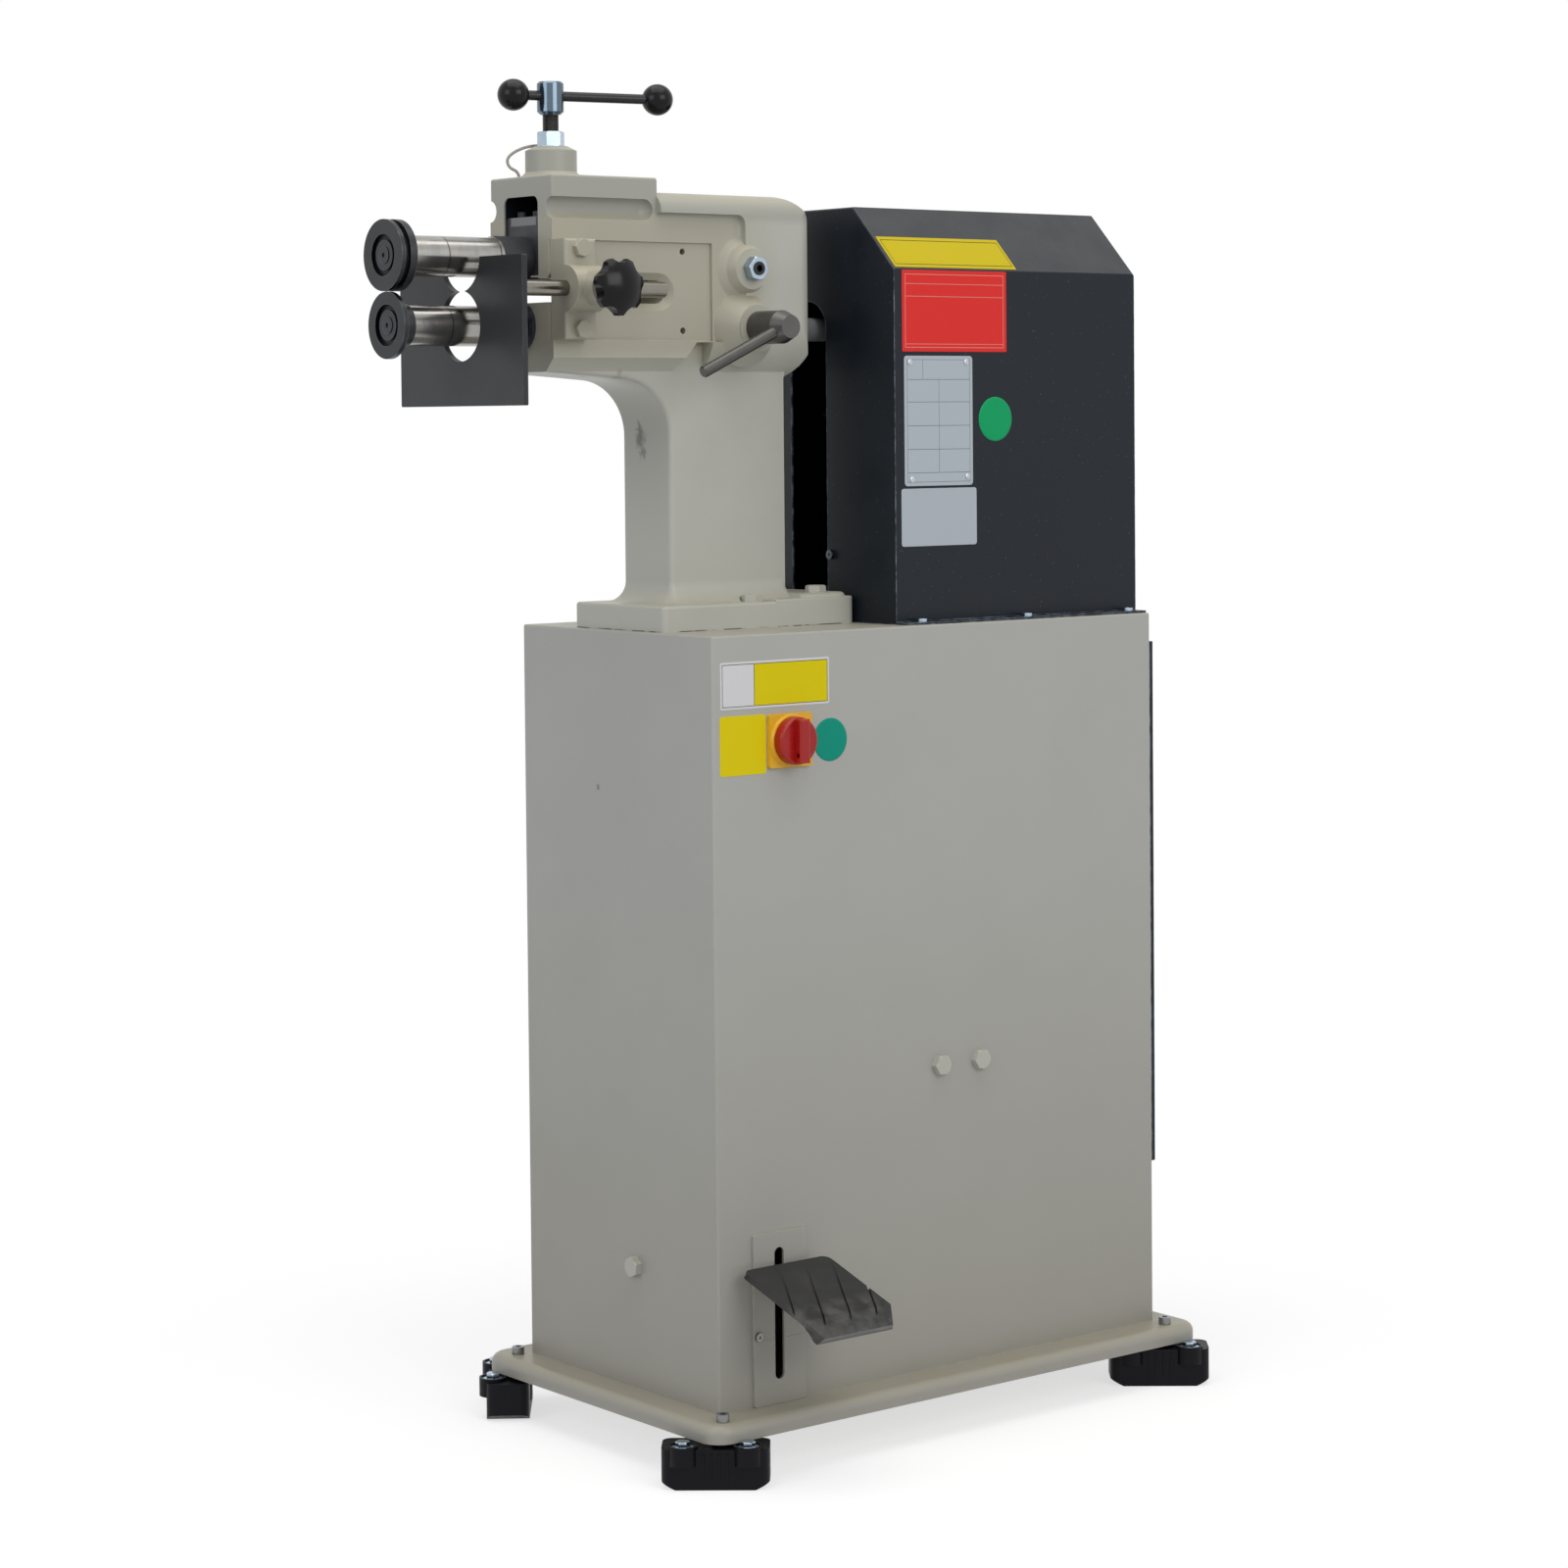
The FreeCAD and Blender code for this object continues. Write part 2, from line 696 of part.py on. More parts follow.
def flat_tool(side):
    """The flat recess on one side of the body, with soft inner corners."""
    inner = side * S.pad_half
    low, high = sorted((inner, side * (S.body_half + 12)), key=float)
    tool = block(S.cap_rear - 20, S.flat_end, low, high, S.pad_step, S.pad_high)
    tool = rounded(tool, 10, lambda m, b, e: near(m.x, S.flat_end) and near(m.z, S.pad_high))
    return rounded(tool, 4, lambda m, b, e: near(b.YMin, inner) and near(b.YMax, inner)
                   and b.ZMax > float(S.pad_step) + 1 and b.XMax > float(S.cap_rear))


rear = cut(joined(shared(shared(side_outline, end_outline), plan_outline), rear_front),
           *mirrored(flat_tool))
cap = block(S.head_front, S.cap_rear, -S.pad_half, S.pad_half, S.cap_low, S.cap_high)
cap = rounded(cap, 2.5, lambda m, b, e: runs("z")(m, b, e) or near(b.ZMin, S.cap_high))
cove_high = S.cap_low - 10.75
coves = [rod("x", 10.8, S.head_front - 1, S.cap_rear - 17, (side * S.pad_half, cove_high))
         for side in (-1, 1)]
cove_ends = [ball(10.8, S.cap_rear - 17, side * S.pad_half, cove_high) for side in (-1, 1)]
screw_spot = (S.screw_x, 0)
screw_boss = joined(cone("z", S.boss_dia / 2 + 5, S.boss_dia / 2, S.cap_high, S.cap_high + 5, screw_spot),
                    rod("z", S.boss_dia / 2, S.cap_high - 5, S.boss_high - 4, screw_spot),
                    cone("z", S.boss_dia / 2, S.boss_dia / 2 - 8, S.boss_high - 4, S.boss_high,
                         screw_spot))


def side_cone(side, inner_radius, outer_radius, inner, outer, spot):
    """A cone across the machine whose inner end is the one towards the middle plane."""
    if side > 0:
        return cone("y", inner_radius, outer_radius, inner, outer, spot)
    return cone("y", outer_radius, inner_radius, -size(outer), -size(inner), spot)


pivot_line = (S.pivot_x, S.pivot_high)
lever_spot = (S.lever_x, S.lever_high)
pivot_bosses = [side_cone(side, 36, 26, S.pad_half - 2, S.pad_half + 6, pivot_line) for side in (-1, 1)]
pivot_bosses += [side_cone(side, 26, 21, S.pad_half + 6, S.pivot_end, pivot_line) for side in (-1, 1)]
lever_boss = joined(rod("y", 24, -S.pad_half - 25, -S.web_half, lever_spot),
                    side_cone(-1, 40, 24.5, S.pad_half - 1, S.pad_half + 23, lever_spot))

# Base plate with the column's spread foot, a raised rear part and a mound for its two bolts
plate_mid = float(S.base_front + S.base_rear) / 2
base = block(S.base_front, S.base_rear, -S.base_half, S.base_half, cab_top, base_top)
base = rounded(base, 6, lambda m, b, e: runs("z")(m, b, e) and m.x < plate_mid)
base = rounded(base, 10, lambda m, b, e: runs("z")(m, b, e) and m.x > plate_mid and abs(m.y) > 1)
column = rounded(block(S.col_front, S.col_rear, -S.web_half, S.web_half, base_top - 1, column_mid), 5,
                 runs("z"))


def on_plate_top(box):
    return near(box.ZMin, base_top) and near(box.ZMax, base_top)


def at_column(middle):
    """A test for places over the column's own footprint."""
    return (float(S.col_front) - 1 < middle.x < float(S.col_rear) + 1
            and abs(middle.y) < float(S.web_half) + 1)


base = rounded(joined(base, column), 22, lambda m, b, e: on_plate_top(b) and at_column(m))
base = rounded(base, 3, lambda m, b, e: on_plate_top(b) and (
    m.x < float(S.base_front) + 4 or m.x > float(S.base_rear) - 8 or abs(m.y) > float(S.base_half) - 8))
step = rounded(block(S.base_bolt_x + 18, S.base_rear, -S.base_half, S.base_half, base_top - 6,
                     base_top + S.base_step), 10,
               lambda m, b, e: runs("z")(m, b, e) and near(m.x, S.base_rear))
step = rounded(step, 1.8, lambda m, b, e: near(b.ZMin, base_top + S.base_step))
mound_half = S.mound_bolt_y + 19
mound = rounded(block(S.col_rear - 3, S.base_rear - 4, -mound_half, mound_half, base_top - 1, mound_top), 10,
                lambda m, b, e: runs("z")(m, b, e) and near(m.x, S.base_rear - 4))
mound = rounded(mound, 5.5, lambda m, b, e: near(b.ZMin, mound_top) and m.x > float(S.col_rear))

casting = joined(web, front_low, undercut, neck, rear, cap, screw_boss, lever_boss, base, step, mound,
                 *pivot_bosses)
throat_mid = (S.throat_high + S.throat_low) / 2
throat_half = (S.throat_high - S.throat_low) / 2
mouth_low = S.throat_high - 1
mouth = rounded(block(S.head_front - 1, S.cap_rear - 13, -S.mouth_half, S.mouth_half, mouth_low,
                      S.mouth_high), 8,
                lambda m, b, e: runs("x")(m, b, e) and near(m.z, S.mouth_high))
arm_room = block(S.cap_rear - 14, S.box_front + 1, -S.mouth_half, S.mouth_half, mouth_low,
                 S.arm_high + 8.5)
throat = joined(block(S.head_front - 1, S.throat_end, -S.body_half - 7, S.body_half + 7, S.throat_low,
                      S.throat_high),
                rod("y", throat_half, -S.body_half - 7, S.body_half + 7, (S.throat_end, throat_mid)))
flare_out = S.pad_half + 1
flare_in = S.pad_half - S.throat_flare


def make_flare(side):
    """The slope along one side of the throat, with a round end."""
    wide = throat_half + S.throat_flare + 1
    strip = slab("yz", [(side * flare_out, throat_mid - wide), (side * flare_out, throat_mid + wide),
                        (side * flare_in, throat_mid + throat_half),
                        (side * flare_in, throat_mid - throat_half)], S.head_front - 1, S.throat_end)
    end = side_cone(side, throat_half, wide, flare_in, flare_out, (S.throat_end, throat_mid))
    return [strip, end]


gear_room = rounded(block(S.box_front, S.box_rear, -S.box_half, S.box_half, S.box_low, S.box_high), 20,
                    lambda m, b, e: runs("x")(m, b, e) and near(m.z, S.box_high))
gear_room = rounded(gear_room, 26, lambda m, b, e: runs("x")(m, b, e) and near(m.z, S.box_low))


def port_block(start, end, gap):
    """The outline of the plate behind the gears, drawn larger by gap."""
    half = S.box_half + 6 + gap
    return rounded(block(start, end, -half, half, S.box_low - 4 - gap, S.box_high + 10 + gap), 14 + gap,
                   runs("x"))


rear_port = port_block(S.box_rear - 1, S.head_rear + 1, 0.2)
ring_room = block(-194, S.box_front + 1, -30, 30, S.lower_axis - 28.5, S.lower_axis + 28.5)
seat_low = throat_mid - 49
seat_high = throat_mid + 50
seat_deep = S.pad_half - 3
bracket_seat = joined(block(S.head_front - 1, -211, -S.body_half - 8, -seat_deep, seat_low, seat_high),
                      slab("xy", [(S.head_front - 1, -seat_deep - 1), (S.head_front - 1, 5 - seat_deep),
                                  (S.head_front + 5, -seat_deep - 1)], seat_low, seat_high))
BRACKET_BOLTS = [(-390, throat_mid + 41), (-390, throat_mid - 39)]
SPARE_HOLES = [(-246.5, throat_mid + 41), (-246.5, throat_mid - 39)]
taps = [rod("y", 3.4, -60, -35, spot) for spot in SPARE_HOLES]
taps += [rod("y", 5.05, -60, -34, spot) for spot in BRACKET_BOLTS]
taps += [rod("z", 6.1, cab_top - 1, mound_top + 1, spot) for spot in COLUMN_BOLTS]
PORT_SCREWS = [(side * (S.box_half - 3), high) for side in (-1, 1) for high in (S.box_low + 5, S.box_high)]
taps += [rod("x", 3.02, S.box_rear - 14, S.box_rear + 1, spot) for spot in PORT_SCREWS]
bolt_seats = [rod("z", 12.5, base_top - 0.4, base_top + 30, spot) for spot in PLATE_BOLTS]
bolt_seats += [rod("z", 12.5, mound_top - 0.4, mound_top + 30, spot) for spot in MOUND_BOLTS]
casting = cut(casting, mouth, arm_room, throat, gear_room, rear_port, ring_room, bracket_seat,
              rod("x", S.bush_dia / 2, S.head_front - 1, -190, (0, S.lower_axis)),
              rod("y", S.pivot_dia / 2, -S.pivot_end - 20, S.pivot_end + 20, pivot_line),
              rod("y", 10 + S.run_gap, -S.pad_half - 36, -20, lever_spot),
              rod("z", S.screw_dia / 2 + S.run_gap, S.mouth_high - 20, S.boss_high + 18, screw_spot),
              rod("z", S.cord_dia / 2 + S.move_gap, S.cap_high - 5.5, S.cap_high + 1, cord_hole),
              *(coves + cove_ends + make_flare(-1) + make_flare(1) + taps + bolt_seats))
node("head_casting", casting)

# Pressure screw, nut, tommy bar and its two balls
nut_low = S.boss_high + 0.5
nut = hexagon("z", S.nut_flats, nut_low, S.nut_high, screw_spot, -22.6)
nut_crown = shared(nut, joined(cone("z", 13, 20, nut_low, nut_low + 7, screw_spot),
                               cone("z", 20, 13, nut_low + 7, S.nut_high, screw_spot)))
screw_nut = cut(joined(nut_crown, rod("z", 17, S.boss_high, nut_low, screw_spot)),
                rod("z", S.screw_dia / 2 + S.run_gap, S.cap_low, S.grip_low, screw_spot))
pad_low = S.arm_high - 21.1
button_low = pad_low + 5
screw = joined(rod("z", 13, button_low + 0.05, button_low + 6.5, screw_spot),
               rod("z", S.screw_dia / 2, button_low + 6, S.grip_low, screw_spot),
               cone("z", 10, S.grip_dia / 2, S.grip_low - 3, S.grip_low, screw_spot),
               rod("z", S.grip_dia / 2, S.grip_low, S.grip_high - 2, screw_spot),
               cone("z", S.grip_dia / 2, S.grip_dia / 2 - 2, S.grip_high - 2, S.grip_high, screw_spot))


def across_screw(item):
    """Turns a piece drawn along X through the origin to the tommy bar's line."""
    return moved(item, S.screw_x, 0, S.bar_high, (Z_AXIS, S.bar_turn))


node("pressure_screw", cut(screw, across_screw(rod("x", S.bar_dia / 2 + 0.1, -30, 30, (0, 0)))))
node("thrust_pad", joined(rod("z", 13, pad_low + 1.2, button_low, screw_spot),
                          cone("z", 4, 13, pad_low, pad_low + 1.2, screw_spot)))
node("tommy_bar", across_screw(rod("x", S.bar_dia / 2, 6 - S.ball_near, S.ball_far - 6, (0, 0))))


def bar_ball(centre, side):
    """A ball with a flat towards the grip, bored from the flat for the bar's end."""
    whole = ball(S.ball_dia / 2, 0, 0, 0)
    bind(whole, "Angle1", -S.ball_flat)
    drilled = cut(whole, rod("z", S.bar_dia / 2, -20, -6, (0, 0)))
    return moved(drilled, centre, 0, 0, (Y_AXIS, 90 * side))


node("bar_balls", across_screw(gathered(bar_ball(-S.ball_near, -1), bar_ball(S.ball_far, 1))))

# Rocking upper arm with its bushes, nose ring and screw keeper
arm_front = S.head_front + 3
arm_rear = S.box_front + 1
arm_top = S.arm_high
arm = block(arm_front, arm_rear, -S.arm_half, S.arm_half, mouth_low + 4.5, arm_top)
arm = bevelled(arm, 2, lambda m, b, e: runs("x")(m, b, e) and near(m.z, arm_top))
arm = joined(arm, rod("x", S.nose_dia / 2, S.nose_end + 4, arm_front, (0, S.upper_axis)))
ARM_SCREWS = [(S.head_front + 13, -13.5), (S.head_front + 13, 13.5)]
keeper_low = button_low + 7.6
keeper_rear = S.screw_x + 19.4
tip_in = S.arm_half - 10
node("upper_arm", cut(
    arm, rod("x", S.bush_dia / 2, S.nose_end - 1, arm_rear + 1, (0, S.upper_axis)),
    rod("z", 15.8, pad_low - 0.4, arm_top + 1, screw_spot),
    block(arm_front - 1, keeper_rear + 0.2, -22, 22, keeper_low, arm_top + 1),
    rod("y", 6.1, -S.arm_half - 2, 1 - tip_in, pivot_line),
    rod("y", 6.1, tip_in - 1, S.arm_half + 2, pivot_line),
    *[rod("z", 4, keeper_low - 12, arm_top, hole) for hole in ARM_SCREWS]))
node("screw_keeper", cut(block(arm_front, keeper_rear, -21.8, 21.8, keeper_low, arm_top),
                         rod("z", 11.4, keeper_low - 3, arm_top + 2, screw_spot),
                         *[rod("z", 4.2, keeper_low - 3, arm_top + 2, hole) for hole in ARM_SCREWS]))
node("keeper_screws", gathered(*[socket_screw("z", 4, 6.5, 5.5, keeper_low - 11, arm_top, hole, 6)
                                 for hole in ARM_SCREWS]))
bush_in = S.shaft_dia / 2 + S.run_gap
bush_out = S.bush_dia / 2
upper_line = (0, S.upper_axis)
lower_line = (0, S.lower_axis)
node("upper_bushes", gathered(sleeve("x", bush_out, bush_in, S.nose_end + 4, -380, upper_line),
                              sleeve("x", bush_out, bush_in, -210, arm_rear, upper_line)))
node("upper_nose_ring", sleeve("x", S.nose_dia / 2 - 0.8, bush_in, S.nose_end, S.nose_end + 4,
                               upper_line))

# Pivot screws through the head's sides, each with a lock nut
nut_tall = 11


def pivot_screw(side):
    def run(low, high):
        return sorted((side * size(low), side * size(high)), key=float)
    thread = rod("y", S.pivot_dia / 2, *run(S.arm_half + 0.2, S.pivot_end + 12), pivot_line)
    tip = rod("y", 6, *run(tip_in, S.arm_half + 0.2), pivot_line)
    return cut(joined(thread, tip), hexagon("y", 7, *run(S.pivot_end + 5, S.pivot_end + 13), pivot_line))


def pivot_nut(side):
    low, high = sorted((side * S.pivot_end, side * (S.pivot_end + nut_tall)), key=float)
    middle = (low + high) / 2
    crown = joined(cone("y", 11.6, 17, low, middle, pivot_line),
                   cone("y", 17, 11.6, middle, high, pivot_line))
    return cut(shared(hexagon("y", S.pivot_nut, low, high, pivot_line, 10), crown),
               rod("y", S.pivot_dia / 2, low - 1, high + 1, pivot_line))


node("pivot_screws", gathered(*mirrored(pivot_screw)))
node("lock_nuts", gathered(screw_nut, *mirrored(pivot_nut)))

# Lower shaft bearings and the plate that closes the gear room
node("lower_bushes", gathered(
    sleeve("x", bush_out, bush_in, S.head_front, -340, lower_line),
    sleeve("x", bush_out, bush_in, -240, -195, lower_line),
    sleeve("x", bush_out, bush_in, S.box_rear, S.box_rear + 14, lower_line)))
node("lower_nose_ring", joined(sleeve("x", 24, bush_in, S.head_front - 4, S.head_front, lower_line),
                               sleeve("x", 22, bush_in, S.head_front - 6, S.head_front - 4,
                                      lower_line)))
port_plate = port_block(S.box_rear, S.box_rear + 10, 0)
node("port_plate", cut(joined(port_plate, rod("x", 24, S.box_rear, S.box_rear + 14, lower_line)),
                       rod("x", bush_out, S.box_rear - 1, S.box_rear + 16, lower_line),
                       *[rod("x", 3.2, S.box_rear - 1, S.box_rear + 12, hole)
                         for hole in PORT_SCREWS]))
node("socket_screws", gathered(*(
    [socket_screw("z", 4, 6.5, 8, -36, 0, spot, 6) for spot in foot_screw_spots]
    + [socket_screw("x", 3, 5, 5, S.box_rear - 12, S.box_rear + 10, hole, 5)
       for hole in PORT_SCREWS])))


def gear(start, end, line):
    """A spur gear with one tooth straight up, as straight-sided flanks between true points."""
    module = float(S.gear_module)
    teeth = int(SIZES["gear_teeth"])
    pitch = module * teeth / 2
    base = pitch * math.cos(math.radians(20))
    tip = pitch + module
    root = pitch - 1.25 * module
    slack = 0.06

    def half_angle(radius):
        at_pitch = math.pi / (2 * teeth) - slack / pitch
        involute = math.tan(math.radians(20)) - math.radians(20)
        pressure = math.acos(min(1.0, base / radius))
        return at_pitch + involute - (math.tan(pressure) - pressure)

    radii = [root, max(base, root + 0.2), pitch - module * 0.35, pitch, pitch + module * 0.5, tip]
    points = []
    for tooth in range(teeth):
        middle = math.pi / 2 + 2 * math.pi * tooth / teeth
        flank = [(r, half_angle(max(r, base))) for r in radii]
        turn = [(r, middle - a) for r, a in flank] + [(r, middle + a) for r, a in reversed(flank)]
        points += [FreeCAD.Vector(0, r * math.cos(a), r * math.sin(a)) for r, a in turn]
    face = Part.Face(Part.makePolygon(points + [points[0]]))
    item = new("Part::Feature", "Gear")
    item.Shape = face.extrude(FreeCAD.Vector(float(end) - float(start), 0, 0))
    place(item, start, line[0], line[1])
    return item


# Lower shaft: spindle, roll, spacer, gear and the collars that the shift ring works between
shaft_r = S.shaft_dia / 2
sleeve_r = S.sleeve_dia / 2
node("lower_shaft", joined(rod("x", shaft_r, -562, S.coupling_front + 20.7, lower_line),
                           rod("x", sleeve_r, -504, -418.5, lower_line),
                           rod("x", 17, -184, -177.3, lower_line)))
lower_bore = rod("x", shaft_r, -600, -100, lower_line)
lower_roll_r = S.lower_roll_dia / 2
lower_roll = joined(rod("x", lower_roll_r, S.lower_roll_face, S.lower_roll_face + 5, lower_line),
                    rod("x", 21, S.lower_roll_face + 5, S.lower_roll_back, lower_line))
node("lower_roll", cut(lower_roll, lower_bore,
                       rod("x", 20.5, S.lower_roll_face - 1, S.lower_roll_face + 3, lower_line)))
node("lower_spacer", sleeve("x", sleeve_r, shaft_r, S.lower_roll_back, -504, lower_line))


def roll_screw(face, line, back):
    """The end screw and washer that stand in a roll's recess."""
    washer = sleeve("x", 15, 5.5, face + 1.4, face + 3, line)
    head = cone("x", 8.5, 5, face + 0.6, face + 4, line)
    head = cut(joined(head, rod("x", 5, face + 3, back, line)),
               rod("x", 2.5, face, face + 1.8, line))
    return joined(washer, head)


node("lower_roll_screw", roll_screw(S.lower_roll_face, lower_line, -563))
gear_low = joined(gear(-157, -137, lower_line), rod("x", 18, -162.7, -157, lower_line))
node("lower_gear", cut(gear_low, rod("x", shaft_r, -170, -130, lower_line)))
ring = sleeve("x", 22, shaft_r + S.run_gap, -177, -163, lower_line)
node("shift_ring", cut(ring, block(-174.15, -165.85, -23, -15.5, S.lower_axis - 10,
                                   S.lower_axis + 12)))

# Upper shaft: spindle, roll, spacer and gear
node("upper_shaft", joined(rod("x", shaft_r, -565, -138, upper_line),
                           rod("x", sleeve_r, -507, S.nose_end - 0.3, upper_line)))
upper_roll_r = S.upper_roll_dia / 2
upper_roll = rod("x", upper_roll_r, S.upper_roll_face, S.upper_roll_back, upper_line)
groove = sleeve("x", upper_roll_r + 1, upper_roll_r - 4.5, S.upper_roll_face + 4,
                S.upper_roll_face + 10, upper_line)
node("upper_roll", cut(upper_roll, groove, rod("x", shaft_r, -600, -500, upper_line),
                       rod("x", 20.5, S.upper_roll_face - 1, S.upper_roll_face + 3, upper_line)))
node("upper_spacer", sleeve("x", sleeve_r, shaft_r, S.upper_roll_back, -507, upper_line))
node("upper_roll_screw", roll_screw(S.upper_roll_face, upper_line, -566))
node("upper_gear", cut(gear(-156, -140, upper_line), rod("x", shaft_r, -170, -130, upper_line)))

# Coupling, geared motor and its stand
coupling_r = S.coupling_dia / 2
coupling_mid = S.coupling_front + 31.7
JAW_TURNS = (0, 120, 240)
LEG_TURNS = (30, 90, 150, 210, 270, 330)


def jaws(start, end, first):
    """Three coupling jaws, each filling 50 degrees of the ring between the hubs."""
    ring_piece = sleeve("x", coupling_r - 1, 13, start, end, lower_line)
    wedges = []
    for turn in JAW_TURNS:
        angles = [math.radians(turn + first + step) for step in (-25, 0, 25)]
        corners = [(0.0, S.lower_axis + 0.0)]
        corners += [(60 * math.cos(a), S.lower_axis + 60 * math.sin(a)) for a in angles]
        wedges.append(slab("yz", corners, start, end))
    return shared(ring_piece, joined(*wedges))


front_hub = rod("x", coupling_r, S.coupling_front, coupling_mid - 9, lower_line)
node("coupling_front", cut(joined(front_hub, jaws(coupling_mid - 9.5, coupling_mid + 3, 90)),
                           rod("x", shaft_r, S.coupling_front - 10, coupling_mid + 5, lower_line)))
rear_hub = joined(rod("x", coupling_r, coupling_mid + 9, coupling_mid + 29, lower_line),
                  rod("x", 18, coupling_mid + 29, coupling_mid + 31.2, lower_line))
node("coupling_rear", joined(rear_hub, jaws(coupling_mid - 3, coupling_mid + 9.5, 150)))


def spider_leg(turn):
    leg = block(coupling_mid - 5.5, coupling_mid + 5.5, -0.95, 0.95, 12, coupling_r - 2)
    return moved(leg, 0, 0, S.lower_axis, (X_AXIS, turn))


node("coupling_spider", joined(sleeve("x", 12.6, 7, coupling_mid - 5.5, coupling_mid + 5.5, lower_line),
                               *[spider_leg(turn) for turn in LEG_TURNS]))
case_start = coupling_mid + 36.8
case_end = case_start + 80
gear_case = joined(rounded(block(case_start, case_end, -62, 62, S.lower_axis - 82.5, S.lower_axis + 77.5),
                           8, runs("x")),
                   rod("x", 36, case_start - 5.3, case_start, lower_line),
                   rod("x", 66, case_end, case_end + 16, lower_line),
                   block(case_start + 6, case_end - 6, -74, 74, S.lower_axis - 86.5, S.lower_axis - 74.5))
node("gearbox", gear_case)
motor_start = case_end + 16
motor_end = motor_start + 124
fins = [moved(block(motor_start + 4, motor_end - 34, -1.2, 1.2, 55, 66), 0, 0, S.lower_axis, (X_AXIS, turn))
        for turn in range(0, 360, 30)]
cowl = cut(rod("x", 66, motor_end - 28, motor_end, lower_line),
           *[sleeve("x", r + 3, r, motor_end - 2, motor_end + 2, lower_line) for r in (20, 30, 40, 50)])
terminals = joined(rounded(block(motor_start + 12, motor_end - 44, -38, 38, S.lower_axis + 47.5,
                                 S.lower_axis + 101.5), 4, runs("z")),
                   block(motor_start + 8, motor_end - 40, -42, 42, S.lower_axis + 101.5,
                         S.lower_axis + 107.5))
node("motor", joined(rod("x", 58, motor_start, motor_end - 27, lower_line), cowl, terminals, *fins))
stand_start = case_start - 30
stand_end = case_start + 182
stand_top = S.lower_axis - 86.5
stand_low = stand_top - 6
node("motor_stand", joined(block(stand_start, stand_end, -80, 80, stand_low, stand_top),
                           block(stand_start + 6, stand_start + 12, -70, 70, cab_top + 6, stand_low),
                           block(stand_end - 16, stand_end - 10, -70, 70, cab_top + 6, stand_low),
                           block(stand_start, stand_end, -80, -70, cab_top, cab_top + 6),
                           block(stand_start, stand_end, 70, 80, cab_top, cab_top + 6),
                           block(stand_start + 6, stand_end - 10, -70, 70, cab_top + 0.5, cab_top + 6)))

# Motor cover: folded sheet with sloping shoulders, an outward lip and a slot for the shaft
cover_bottom = cab_top
slope_tall = S.cover_slope + 1.5


def cover_section(inset, bottom, start, end):
    side = S.cover_half - inset
    top = S.cover_high - inset
    shoulder = size(inset) * 0.414
    low = top - slope_tall + shoulder
    across = side - S.cover_slope + shoulder
    return slab("yz", [(-side, bottom), (-side, low), (-across, top), (across, top), (side, low),
                       (side, bottom)], start, end)


cover = cover_section(0, cover_bottom, S.cover_front, S.cover_rear)
cover = rounded(cover, 2.2, lambda m, b, e: b.ZMax > 900 and not near(b.ZMin, cover_bottom, 1))
cover_room = cover_section(S.cover_sheet, cover_bottom - 1, S.cover_front + S.cover_sheet,
                           S.cover_rear - S.cover_sheet)
lip_out = S.cover_half + S.cover_lip
lips = [rounded(block(S.cover_front, S.cover_rear, low, high, cover_bottom, cover_bottom + 2.5), 3,
                lambda m, b, e: runs("z")(m, b, e) and near(abs(m.y), lip_out, 1))
        for low, high in ((-lip_out, 1 - S.cover_half), (S.cover_half - 1, lip_out))]
cut_out = joined(block(S.cover_front - 1, S.cover_front + 3, -S.mouth_half, S.mouth_half,
                       cover_bottom - 1, S.lower_axis),
                 rod("x", S.mouth_half, S.cover_front - 1, S.cover_front + 3, lower_line))
GUARD_SCREWS = [(-36, cab_top + 70.4)]
node("motor_cover", cut(joined(cover, *lips), cover_room, cut_out,
                        *([rod("z", 2.6, cover_bottom - 1, cover_bottom + 4, hole)
                           for hole in COVER_SCREWS]
                          + [rod("x", 2.6, S.cover_front - 1, S.cover_front + 3, hole)
                             for hole in GUARD_SCREWS])))


def flange_screw(hole):
    return socket_screw("z", 2.5, 5.5, 3.4, cover_bottom - 3.8, cover_bottom + 2.5, hole, 3)


def slot_edge_screw(hole):
    return socket_screw("x", 2.5, 5, 3.4, S.cover_front + 12, S.cover_front, hole, 3, -1)


def door_screw(hole):
    return socket_screw("x", 2.5, 4.5, 3, half_long + 0.2, half_long + S.door_out, hole, 3)


def slot_plate_screw(hole):
    return socket_screw("y", 2.5, 4.5, 2.5, -half_deep, plate_front, hole, 3, -1)


node("panel_screws", gathered(*([flange_screw(hole) for hole in COVER_SCREWS]
                                + [slot_edge_screw(hole) for hole in GUARD_SCREWS]
                                + [door_screw(hole) for hole in DOOR_SCREWS]
                                + [slot_plate_screw(hole) for hole in PLATE_SCREWS])))

# Gauge bracket, its bolts, rod, plate and clamping knob
gauge_line = (S.gauge_rod_y, S.gauge_rod_high)
knob_spot = (S.knob_x, S.gauge_rod_high)
bracket_face = -S.pad_half - 21
bracket_rear = S.head_front + 38
bracket = rounded(block(S.head_front, bracket_rear, bracket_face, -seat_deep, seat_low, seat_high), 3,
                  lambda m, b, e: near(b.YMin, bracket_face) and near(b.YMax, bracket_face))
bracket = joined(bracket, rod("x", 23, S.head_front, bracket_rear, gauge_line),
                 rod("y", 18, bracket_face - 37, bracket_face, knob_spot))
node("gauge_bracket", cut(
    bracket, rod("x", S.gauge_rod_dia / 2 + S.run_gap, S.head_front - 1, bracket_rear + 10, gauge_line),
    rod("y", 5.05, bracket_face - 38, bracket_face, knob_spot),
    *[rod("y", 5.05, bracket_face - 1, -seat_deep + 1, hole) for hole in BRACKET_BOLTS]))
